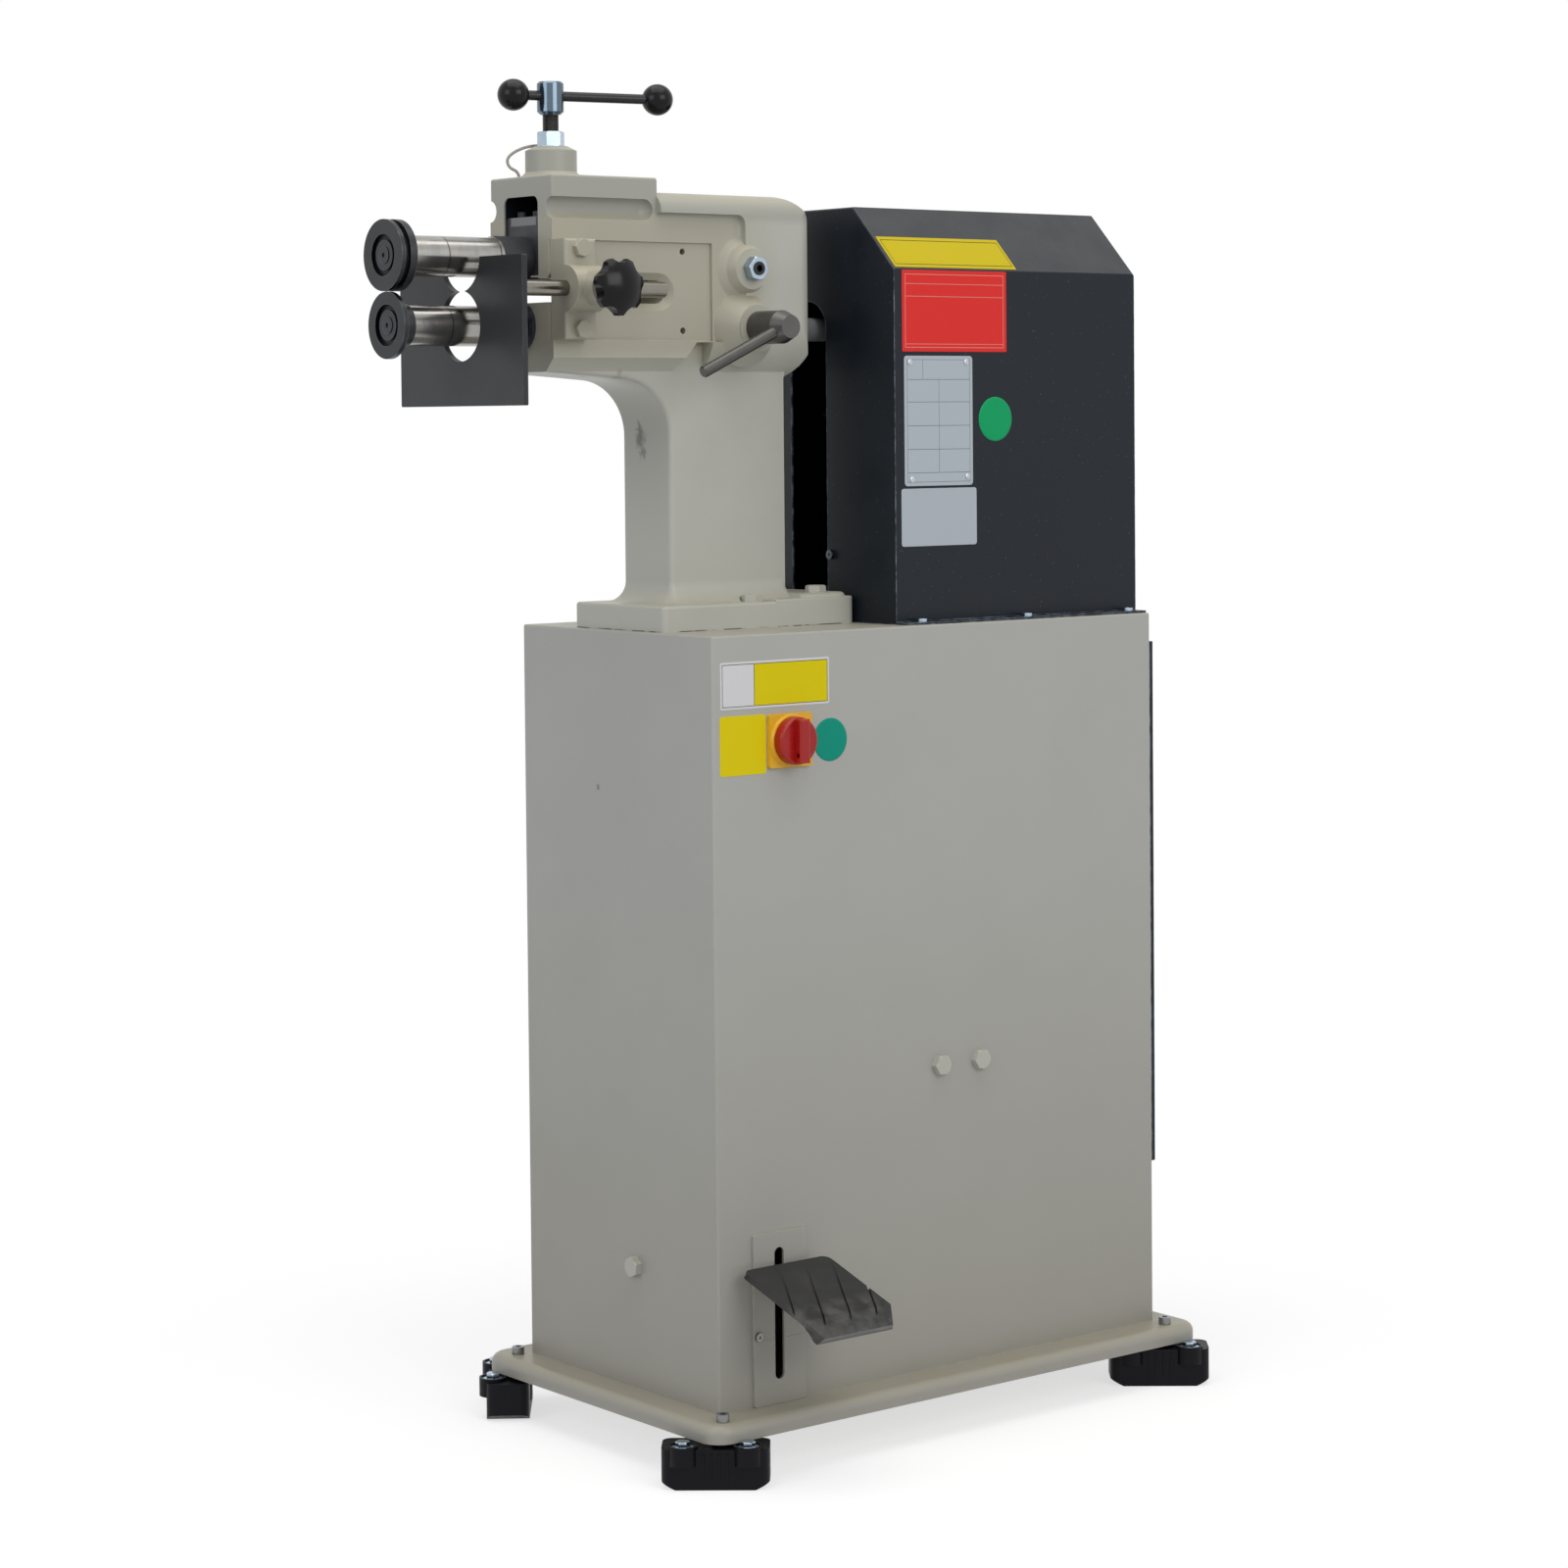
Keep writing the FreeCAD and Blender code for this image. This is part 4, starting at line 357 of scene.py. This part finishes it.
def ground_steel(name="ground_steel", colour=linear(158, 156, 153)):
    """Ground shafts with a brownish film, and a dark seam where each spacer ends."""
    look = turned_steel(name, colour, 0.20, 0.0011, 0.000008)
    look.shader.inputs["Anisotropic"].default_value = 0.5
    film = look.spread(look.noise(0.03, 5.0), 0.56, 0.8, 0.0, 0.3)
    look.tint(linear(136, 124, 106), film)
    for seam_x, low, high in ((-504, 1040, 1116), (-507, 1116, 1190)):
        seam = look.within(spot(seam_x - 0.5, -25, low), spot(seam_x + 0.5, 25, high))
        look.tint(linear(58, 60, 64), seam)
    return look


def lower_shaft_look():
    """Ground steel, with a paler, less metallic stretch between the head and the cover: a painted reflection on
    that shaded stretch.
    """
    look = ground_steel("lower_shaft_steel")
    painted_reflection = look.within(spot(-90, -60, 1020), spot(0, 60, 1140))
    look.tint(linear(134, 137, 142), painted_reflection)
    look.link(look.spread(painted_reflection, 0.0, 1.0, 1.0, 0.1), look.shader.inputs["Metallic"])
    return look.done()


def roll_steel():
    """Dark rolls with a darker recess in each face."""
    look = turned_steel("roll_steel", linear(62, 63, 66), 0.36, 0.0009, 0.00001)
    recess_r = 20.8
    for face_x, axis_z in ((-568.6, 1082.5), (-571.7, 1150.5)):
        recess = look.within(spot(face_x + 0.4, -recess_r, axis_z - recess_r),
                             spot(face_x + 3.4, recess_r, axis_z + recess_r))
        look.tint(linear(33, 36, 41), recess)
    look.edge_wear_and_highlight(0.0009, linear(150, 152, 156), 0.7)
    return look.done()


def oxide(name, colour, rough):
    """Steel with a black or dark finish."""
    look = Look(name, colour, rough, metal=0.8)
    look.shade(0.02, 0.92, 1.06)
    look.gloss(0.01, rough - 0.06, rough + 0.08)
    look.relief(look.noise(0.0008, 2.0), 0.000006)
    look.edge_wear_and_highlight(0.0007, linear(140, 138, 134), 0.5)
    return look.done()


def zinc_steel():
    look = Look("zinc_steel", linear(172, 188, 203), 0.2, metal=1.0)
    look.shade(0.012, 0.93, 1.03)
    look.gloss(0.01, 0.16, 0.26)
    # Painted reflection: near-white lines along the edges stand for the bright reflections on the facets.
    look.edge_wear_and_highlight(0.0005, linear(232, 240, 246), 0.7)
    return look


def panel_screw_look():
    """Zinc, painted over on the slot plate, and darker inside the cover's slot edge."""
    look = zinc_steel()
    slot_plate = look.within(spot(-300, -180, 0), spot(300, -150, 300))
    look.tint(linear(126, 124, 116), slot_plate)
    cover_slot = look.within(spot(-62, -140, 780), spot(-20, 140, 1200))
    look.tint(linear(100, 103, 106), cover_slot)
    return look.done()


def arm_iron():
    look = Look("arm_iron", linear(53, 54, 59), 0.46, metal=0.25)
    look.shade(0.03, 0.92, 1.06)
    look.gloss(0.01, 0.4, 0.54)
    look.relief(look.noise(0.0012, 3.0, look.stretched(0.15, 1, 1)), 0.00002)
    look.edge_wear_and_highlight(0.0008, linear(104, 106, 112), 0.5)
    return look.done()


def knob_black():
    look = Look("knob_black", linear(6, 7, 10), 0.2, specular=0.22)
    look.gloss(0.01, 0.17, 0.25)
    return look.done()


def foot_plastic():
    look = Look("foot_plastic", linear(8, 8, 14), 0.42, specular=0.16)
    look.shade(0.03, 0.88, 1.12)
    look.gloss(0.01, 0.36, 0.5)
    look.relief(look.noise(0.0012, 2.0), 0.00004)
    return look.done()


def pedal_rubber():
    """Dusty rubber with dark grooves and a worn, shinier front."""
    look = Look("pedal_rubber", linear(36, 36, 36), 0.55, specular=0.4)
    look.shade(0.02, 0.85, 1.12)
    look.relief(look.noise(0.0014, 3.0), 0.00006)
    dust = look.spread(look.noise(0.03, 8.0), 0.5, 0.75, 0.0, 0.2)
    look.tint(linear(78, 76, 72), dust)
    grooves = look.edges(0.003, 0.004, 0.35, 0.55)[0]
    look.tint(linear(26, 26, 28), look.maths("MULTIPLY", grooves, 0.8))
    front = look.spread(look.axis("Y"), spot(0, -262, 0).y, spot(0, -246, 0).y, 1.0, 0.0)
    worn = look.maths("MULTIPLY", look.spread(look.noise(0.02, 4.0), 0.4, 0.65), front)
    look.tint(linear(104, 102, 99), look.maths("MULTIPLY", worn, 0.5))
    look.rough = look.spread(front, 0.0, 1.0, 0.52, 0.3)
    return look.done()


def plastic(name, colour, rough):
    look = Look(name, colour, rough, specular=0.4)
    look.shade(0.02, 0.97, 1.02)
    look.gloss(0.02, rough - 0.04, rough + 0.06)
    return look.done()


def screw_look(axis_x, grip_low, pitch=0.002, thread_r=0.008):
    """Blackened thread below a polished grip: the thread is a helix of bumps round the screw's axis."""
    look = Look("screw_steel", linear(40, 38, 37), 0.34, metal=0.85)
    centre = spot(axis_x, 0, grip_low)
    off_x = look.maths("SUBTRACT", look.axis("X"), centre.x)
    off_y = look.maths("SUBTRACT", look.axis("Y"), centre.y)
    turn = look.maths("DIVIDE", look.maths("ARCTAN2", off_y, off_x), 2 * math.pi)
    rise = look.maths("DIVIDE", look.axis("Z"), pitch)
    phase = look.maths("PINGPONG", look.maths("SUBTRACT", rise, turn), 0.5)
    squares = look.maths("ADD", look.maths("MULTIPLY", off_x, off_x), look.maths("MULTIPLY", off_y, off_y))
    on_thread = look.maths("LESS_THAN", look.maths("SQRT", squares), thread_r + 0.0004)
    look.relief(look.maths("MULTIPLY", phase, on_thread), pitch * 0.4)
    look.tint(linear(78, 76, 73), look.maths("MULTIPLY", look.spread(phase, 0.3, 0.5), on_thread))
    on_grip = look.spread(look.axis("Z"), centre.z - 0.0035, centre.z - 0.003)
    look.tint(linear(96, 112, 125), on_grip)
    look.rough = look.spread(on_grip, 0.0, 1.0, 0.34, 0.12)
    return look.done()


LOOKS = {
    "cabinet_paint": cabinet_paint(),
    "head_paint": head_paint(),
    "cover_black": cover_paint(),
    "gauge_black": gauge_paint(),
    "ground_steel": ground_steel().done(),
    "roll_steel": roll_steel(),
    "gear_steel": turned_steel("gear_steel", linear(112, 112, 114), 0.34, 0.001, 0.00001).done(),
    "black_oxide": oxide("black_oxide", linear(94, 92, 91), 0.36),
    "zinc_steel": zinc_steel().done(),
    "bronze": turned_steel("bronze", linear(170, 128, 70), 0.35, 0.001, 0.00001).done(),
    "arm_iron": arm_iron(),
    "knob_black": knob_black(),
    "foot_plastic": foot_plastic(),
    "pedal_rubber": pedal_rubber(),
    "pedal_steel": painted("pedal_steel", linear(40, 40, 42), 0.45, 0.00004, 0.002).done(),
    "switch_yellow": plastic("switch_yellow", linear(232, 178, 36), 0.3),
    "switch_red": plastic("switch_red", linear(168, 22, 20), 0.26),
    "drive_paint": painted("drive_paint", linear(92, 104, 116), 0.45, 0.00006, 0.004).done(),
    "box_paint": painted("box_paint", linear(165, 165, 160), 0.45, 0.00004, 0.003).done(),
    "cord_grey": plastic("cord_grey", linear(172, 165, 158), 0.5),
}
# Finishes of single pieces that differ from the rest of their slot
roll_screw_black = oxide("roll_screw_black", linear(58, 60, 65), 0.34)
OWN_LOOKS = {
    "pressure_screw": screw_look(SCREW_X, 1297.5),
    "tommy_bar": oxide("bar_black", linear(48, 48, 50), 0.3),
    "lever_rod": oxide("lever_bright", linear(80, 79, 76), 0.32),
    "panel_screws": panel_screw_look(),
    "lower_shaft": lower_shaft_look(),
    "upper_roll_screw": roll_screw_black,
    "lower_roll_screw": roll_screw_black,
    "gauge_rod": ground_steel("rod_steel", linear(134, 130, 122)).done(),
    "socket_screws": oxide("tray_screw", linear(132, 134, 133), 0.25),
    "keeper_screws": oxide("screw_black", linear(38, 40, 44), 0.32),
    "pivot_screws": oxide("pin_black", linear(52, 54, 58), 0.32),
    "lower_nose_ring": oxide("ring_chrome", linear(84, 88, 98), 0.16),
}
slot_of = {part["node"]: part["material_slot"] for part in frame["record"]["subparts"]}
for name, item in nodes.items():
    item.data.materials.clear()
    item.data.materials.append(OWN_LOOKS.get(name) or LOOKS[slot_of[name]])


def piece(name, data, look, body="frame"):
    """Makes mesh or curve data a visible piece that rides on a body."""
    item = bpy.data.objects.new(name, data)
    scene.collection.objects.link(item)
    data.materials.append(look)
    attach(item, body)
    return item


# Tether cord from the nut to the hole beside the boss: each spot says how far left of the screw's axis it is
# as the camera sees it, how far behind, and how high
CORD_SPOTS = [(9, 13, 1264.9), (22, 5, 1265.4), (44, 0, 1254.5), (43.5, 0, 1243), (31.5, 0, 1237.5),
              (31.5, 0, 1227)]
ACROSS, ALONG = 0.781, 0.624
CORD_THICK = 0.003
cord_points = [spot(SCREW_X - ACROSS * left + ALONG * back, ALONG * left + ACROSS * back, high)
               for left, back, high in CORD_SPOTS]
cord_curve = bpy.data.curves.new("tether", "CURVE")
cord_curve.dimensions = "3D"
line = cord_curve.splines.new("NURBS")
line.points.add(len(cord_points) - 1)
for control, at in zip(line.points, cord_points):
    control.co = (at.x, at.y, at.z, 1)
line.order_u = 3
line.use_endpoint_u = True
line.resolution_u = 16
cord_curve.bevel_depth = CORD_THICK / 2
cord_curve.bevel_resolution = 6
cord_curve.use_fill_caps = True
tether = piece("tether", cord_curve, LOOKS["cord_grey"])
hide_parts("tether_cord")


def close_rings(name, build, rings, look):
    """Joins rings of points with faces, closes both ends and makes the mesh a piece."""
    for lower, upper in zip(rings, rings[1:]):
        for k in range(len(lower)):
            after = (k + 1) % len(lower)
            build.faces.new((lower[k], lower[after], upper[after], upper[k]))
    build.faces.new(rings[-1])
    build.faces.new(list(reversed(rings[0])))
    mesh = bpy.data.meshes.new(name)
    build.to_mesh(mesh)
    build.free()
    return piece(name, mesh, look)


# Plain plates and stickers; their printing is left off
CORNER_STEPS = 6
EDGE_ROUND = 0.0002


def plate(name, corner, across, up, width, height, thick, round_r, look):
    """A thin plate with rounded corners on a face, from its lower corner; sizes are in metres."""
    normal = across.cross(up).normalized()
    outline = []
    for middle_u, middle_v, start in ((width - round_r, height - round_r, 0), (round_r, height - round_r, 90),
                                      (round_r, round_r, 180), (width - round_r, round_r, 270)):
        for step in range(CORNER_STEPS + 1):
            angle = math.radians(start + 90 / CORNER_STEPS * step)
            outline.append((middle_u + round_r * math.cos(angle), middle_v + round_r * math.sin(angle)))
    build = bmesh.new()
    soften = min(thick * 0.5, EDGE_ROUND)
    rings = []
    for inset, out in ((0, 0), (0, thick - soften), (soften, thick)):
        ring = []
        for u, v in outline:
            u = u + (inset if u < width / 2 else -inset)
            v = v + (inset if v < height / 2 else -inset)
            ring.append(build.verts.new(corner + across * u + up * v + normal * out))
        rings.append(ring)
    close_rings(name, build, rings, look)


DOME_SIDES = 48
# Share of the radius and share of the height, from the rim to the top
DOME_PROFILE = ((1.0, 0.0), (1.0, 0.35), (0.92, 0.7), (0.7, 0.92), (0.4, 1.0))


def dome(name, centre, out, radius, height, look):
    """A flat-bottomed round head, such as a rivet or a round sticker."""
    build = bmesh.new()
    side = out.orthogonal().normalized()
    other = out.cross(side)
    rings = []
    for share, lift in DOME_PROFILE:
        ring = []
        for k in range(DOME_SIDES):
            angle = k * 2 * math.pi / DOME_SIDES
            away = side * math.cos(angle) + other * math.sin(angle)
            ring.append(build.verts.new(centre + out * (height * lift) + away * (radius * share)))
        rings.append(ring)
    item = close_rings(name, build, rings, look)
    for face in item.data.polygons:
        face.use_smooth = len(face.vertices) == 4


def sheet_look(name, colour, rough=0.38, metal=0.0):
    """Smooth printed film or thin painted metal."""
    look = Look(name, colour, rough, metal=metal, specular=0.15)
    look.gloss(0.02, rough - 0.03, rough + 0.04)
    return look


def patch(look, colour, low_x, high_x, low_z, high_z):
    """Colours an upright rectangle, in the machine's X and Z, through the whole depth."""
    look.tint(colour, look.within(spot(low_x, -DEPTH, low_z), spot(high_x, DEPTH, high_z)))


def framed(look, line_colour, fill_colour, corner, size, inset, wide):
    """Lays a thin line round a filled field; corner, size, inset and width are in the machine's X and Z."""
    for edge, colour in ((inset, line_colour), (inset + wide, fill_colour)):
        patch(look, colour, corner[0] + edge, corner[0] + size[0] - edge,
              corner[1] + edge, corner[1] + size[1] - edge)


# Directions, and where the stickers lie on the near faces
EAST = Vector((1, 0, 0))
NORTH = Vector((0, 1, 0))
UP = Vector((0, 0, 1))
OUT = Vector((0, -1, 0))
COVER_SLOPE = Vector((0, 65, 66.5)).normalized()
CABINET_Y = -163.4
COVER_Y = -141.0
SLOPE_Y = -139.2
# More than half the machine's depth
DEPTH = 400
FILM = 0.0003

YELLOW = linear(226, 208, 8)
WHITE = linear(222, 222, 224)
RED = linear(230, 54, 50)
STRIP = linear(198, 178, 16)
SILVER = linear(172, 180, 188)
DARK_LINE = linear(62, 58, 40)
PINK_LINE = linear(228, 140, 134)
INK = linear(104, 110, 118)

notice = sheet_look("notice_print", WHITE)
framed(notice, DARK_LINE, WHITE, (-290, 701), (139, 47), 2.2, 0.7)
framed(notice, DARK_LINE, YELLOW, (-249.9, 701), (98.9, 47), 2.2, 0.7)
plate("cabinet_notice", spot(-290, CABINET_Y, 701), EAST, UP, 0.139, 0.047, FILM, 0.002, notice.done())
plate("supply_card", spot(-291, CABINET_Y, 635), EAST, UP, 0.058, 0.0595, FILM, 0.003,
      sheet_look("card_yellow", linear(230, 210, 8)).done())
panel = sheet_look("panel_print", RED)
framed(panel, PINK_LINE, RED, (-31.5, 1056.8), (144.5, 84.3), 4.0, 0.8)
for rule_z in (1064.3, 1113.6, 1126.6):
    patch(panel, PINK_LINE, -27.5, 109, rule_z, rule_z + 0.7)
plate("cover_panel", spot(-31.5, COVER_Y, 1056.8), EAST, UP, 0.1445, 0.0843, FILM, 0.001, panel.done())
strip = sheet_look("strip_yellow", STRIP, 0.5)
framed(strip, linear(92, 82, 22), STRIP, (-38.4, 1143.9), (168, 45.5 * COVER_SLOPE.z), 3.0, 0.8)
plate("slope_strip", spot(-38.4, SLOPE_Y, 1143.9), EAST, COVER_SLOPE, 0.168, 0.0455, FILM, 0.001, strip.done())
plate("lower_plate", spot(-34, COVER_Y, 855), EAST, UP, 0.1035, 0.060, FILM, 0.003,
      sheet_look("plate_pale", linear(176, 184, 192), 0.34, 0.3).done())

# Folded rim that stands up round the rear door
DOOR_FACE_X = 306
RIM_HIGH = 0.005
for side, y, z, wide, high in (("near", -156, 173.5, 0.003, 0.5695), ("far", 153, 173.5, 0.003, 0.5695),
                               ("low", -153, 173.5, 0.306, 0.003), ("top", -153, 740, 0.306, 0.003)):
    plate("door_rim_" + side, spot(DOOR_FACE_X, y, z), NORTH, UP, wide, high, RIM_HIGH, 0.0008,
          LOOKS["cover_black"])

# Blank rating plate with ruled lines and four rivets
RATING_THICK = 0.6
rating = sheet_look("rating_silver", SILVER, 0.3, 0.6)
framed(rating, INK, SILVER, (-29.5, 917.5), (94, 135), 3.8, 0.5)
for rule_z in (1027.6, 1004.3, 979.7, 955.2, 930.9):
    patch(rating, INK, -25.7, 60.7, rule_z, rule_z + 0.6)
for rule_x, low_z, high_z in ((17.5, 930.9, 1027.6), (-4.5, 1027.6, 1048.7)):
    patch(rating, INK, rule_x, rule_x + 0.5, low_z, high_z)
plate("rating_plate", spot(-29.5, COVER_Y, 917.5), EAST, UP, 0.094, 0.135, RATING_THICK / 1000, 0.004,
      rating.done())
rivet_look = oxide("rivet_steel", linear(190, 194, 198), 0.25)
for number, (x, z) in enumerate(((-21.4, 1045.8), (56, 1046.3), (57.2, 926.6), (-19.2, 924.4)), 1):
    dome("rivet_%d" % number, spot(x, COVER_Y - RATING_THICK, z), OUT, 0.0034, 0.0013, rivet_look)

# Round stickers
dome("cabinet_disc", spot(-150.3, CABINET_Y, 664), OUT, 0.022, FILM,
     sheet_look("disc_teal", linear(10, 150, 128)).done())
dome("cover_disc", spot(96.6, COVER_Y, 986.3), OUT, 0.0233, FILM,
     sheet_look("disc_green", linear(14, 164, 100)).done())

# White surroundings that the camera sees, and a softer sky that lights things
scene.view_settings.view_transform = "Standard"
world = bpy.data.worlds.new("studio")
scene.world = world
world.use_nodes = True


def seen_directly(tree):
    """1 for rays from the camera, a mirror-like surface or glass, and 0 for the light that falls on things."""
    paths = tree.nodes.new("ShaderNodeLightPath")
    first = tree.nodes.new("ShaderNodeMath")
    first.operation = "MAXIMUM"
    tree.links.new(paths.outputs["Is Camera Ray"], first.inputs[0])
    tree.links.new(paths.outputs["Is Glossy Ray"], first.inputs[1])
    second = tree.nodes.new("ShaderNodeMath")
    second.operation = "MAXIMUM"
    tree.links.new(first.outputs[0], second.inputs[0])
    tree.links.new(paths.outputs["Is Transmission Ray"], second.inputs[1])
    return second.outputs[0]


tree = world.node_tree
tree.nodes.clear()
soft = tree.nodes.new("ShaderNodeBackground")
soft.inputs["Color"].default_value = (0.95, 0.97, 1.0, 1)
soft.inputs["Strength"].default_value = 0.42
white = tree.nodes.new("ShaderNodeBackground")
white.inputs["Color"].default_value = (1, 1, 1, 1)
white.inputs["Strength"].default_value = 1.0
choose = tree.nodes.new("ShaderNodeMixShader")
out = tree.nodes.new("ShaderNodeOutputWorld")
tree.links.new(seen_directly(tree), choose.inputs[0])
tree.links.new(soft.outputs[0], choose.inputs[1])
tree.links.new(white.outputs[0], choose.inputs[2])
tree.links.new(choose.outputs[0], out.inputs["Surface"])

# White floor that keeps the shadow: near the machine part of its white comes from the light on it
FLOOR_HALF = 9
floor_mesh = bpy.data.meshes.new("floor")
floor_corners = [(x * FLOOR_HALF, y * FLOOR_HALF, 0) for x, y in ((-1, -1), (1, -1), (1, 1), (-1, 1))]
floor_mesh.from_pydata(floor_corners, [], [(0, 1, 2, 3)])
floor = bpy.data.objects.new("floor", floor_mesh)
scene.collection.objects.link(floor)
floor_look = bpy.data.materials.new("floor")
floor_look.use_nodes = True
tree = floor_look.node_tree
tree.nodes.clear()


def floor_node(kind, **values):
    """A node of the floor's material, with its inputs' values."""
    node = tree.nodes.new(kind)
    for key, value in values.items():
        node.inputs[key.replace("_", " ")].default_value = value
    return node


where = floor_node("ShaderNodeTexCoord")
away = floor_node("ShaderNodeVectorMath")
away.operation = "LENGTH"
tree.links.new(where.outputs["Object"], away.inputs[0])
near_share = floor_node("ShaderNodeMapRange", From_Min=0.5, From_Max=1.0, To_Min=1.0, To_Max=0.0)
near_share.interpolation_type = "SMOOTHSTEP"
tree.links.new(away.outputs["Value"], near_share.inputs["Value"])
glow_level = floor_node("ShaderNodeMapRange", To_Min=1.0, To_Max=0.66)
tree.links.new(near_share.outputs["Result"], glow_level.inputs["Value"])
glow = floor_node("ShaderNodeEmission", Color=(1, 1, 1, 1))
tree.links.new(glow_level.outputs["Result"], glow.inputs["Strength"])
lit_level = floor_node("ShaderNodeMapRange", To_Min=0.0, To_Max=0.45)
tree.links.new(near_share.outputs["Result"], lit_level.inputs["Value"])
lit = floor_node("ShaderNodeBsdfDiffuse")
tree.links.new(lit_level.outputs["Result"], lit.inputs["Color"])
both = floor_node("ShaderNodeAddShader")
tree.links.new(glow.outputs[0], both.inputs[0])
tree.links.new(lit.outputs[0], both.inputs[1])
plain = floor_node("ShaderNodeBsdfDiffuse", Color=(0.6, 0.6, 0.6, 1))
pick = floor_node("ShaderNodeMixShader")
tree.links.new(seen_directly(tree), pick.inputs[0])
tree.links.new(plain.outputs[0], pick.inputs[1])
tree.links.new(both.outputs[0], pick.inputs[2])
finish = floor_node("ShaderNodeOutputMaterial")
tree.links.new(pick.outputs[0], finish.inputs["Surface"])
floor_mesh.materials.append(floor_look)


def lamp(name, at, aim, width, height, power, colour):
    """A soft lamp that faces the aim; places and sizes are in metres, power in watts."""
    data = bpy.data.lights.new(name, "AREA")
    data.shape = "RECTANGLE"
    data.size = width
    data.size_y = height
    data.energy = power
    data.color = colour
    item = bpy.data.objects.new(name, data)
    scene.collection.objects.link(item)
    item.location = at
    item.rotation_euler = (Vector(aim) - Vector(at)).to_track_quat("-Z", "Y").to_euler()


lamp("overhead", (-0.2, -0.3, 3.6), (0.1, 0, 0.6), 3.0, 2.4, 44, (1.0, 0.98, 0.93))
lamp("front", (0.15, -4.0, 2.5), (0.1, 0, 0.9), 2.6, 2.0, 50, (1.0, 0.99, 0.97))
lamp("side", (-4.0, -0.6, 2.3), (0, 0, 0.9), 2.2, 2.0, 29, (0.95, 0.98, 1.0))
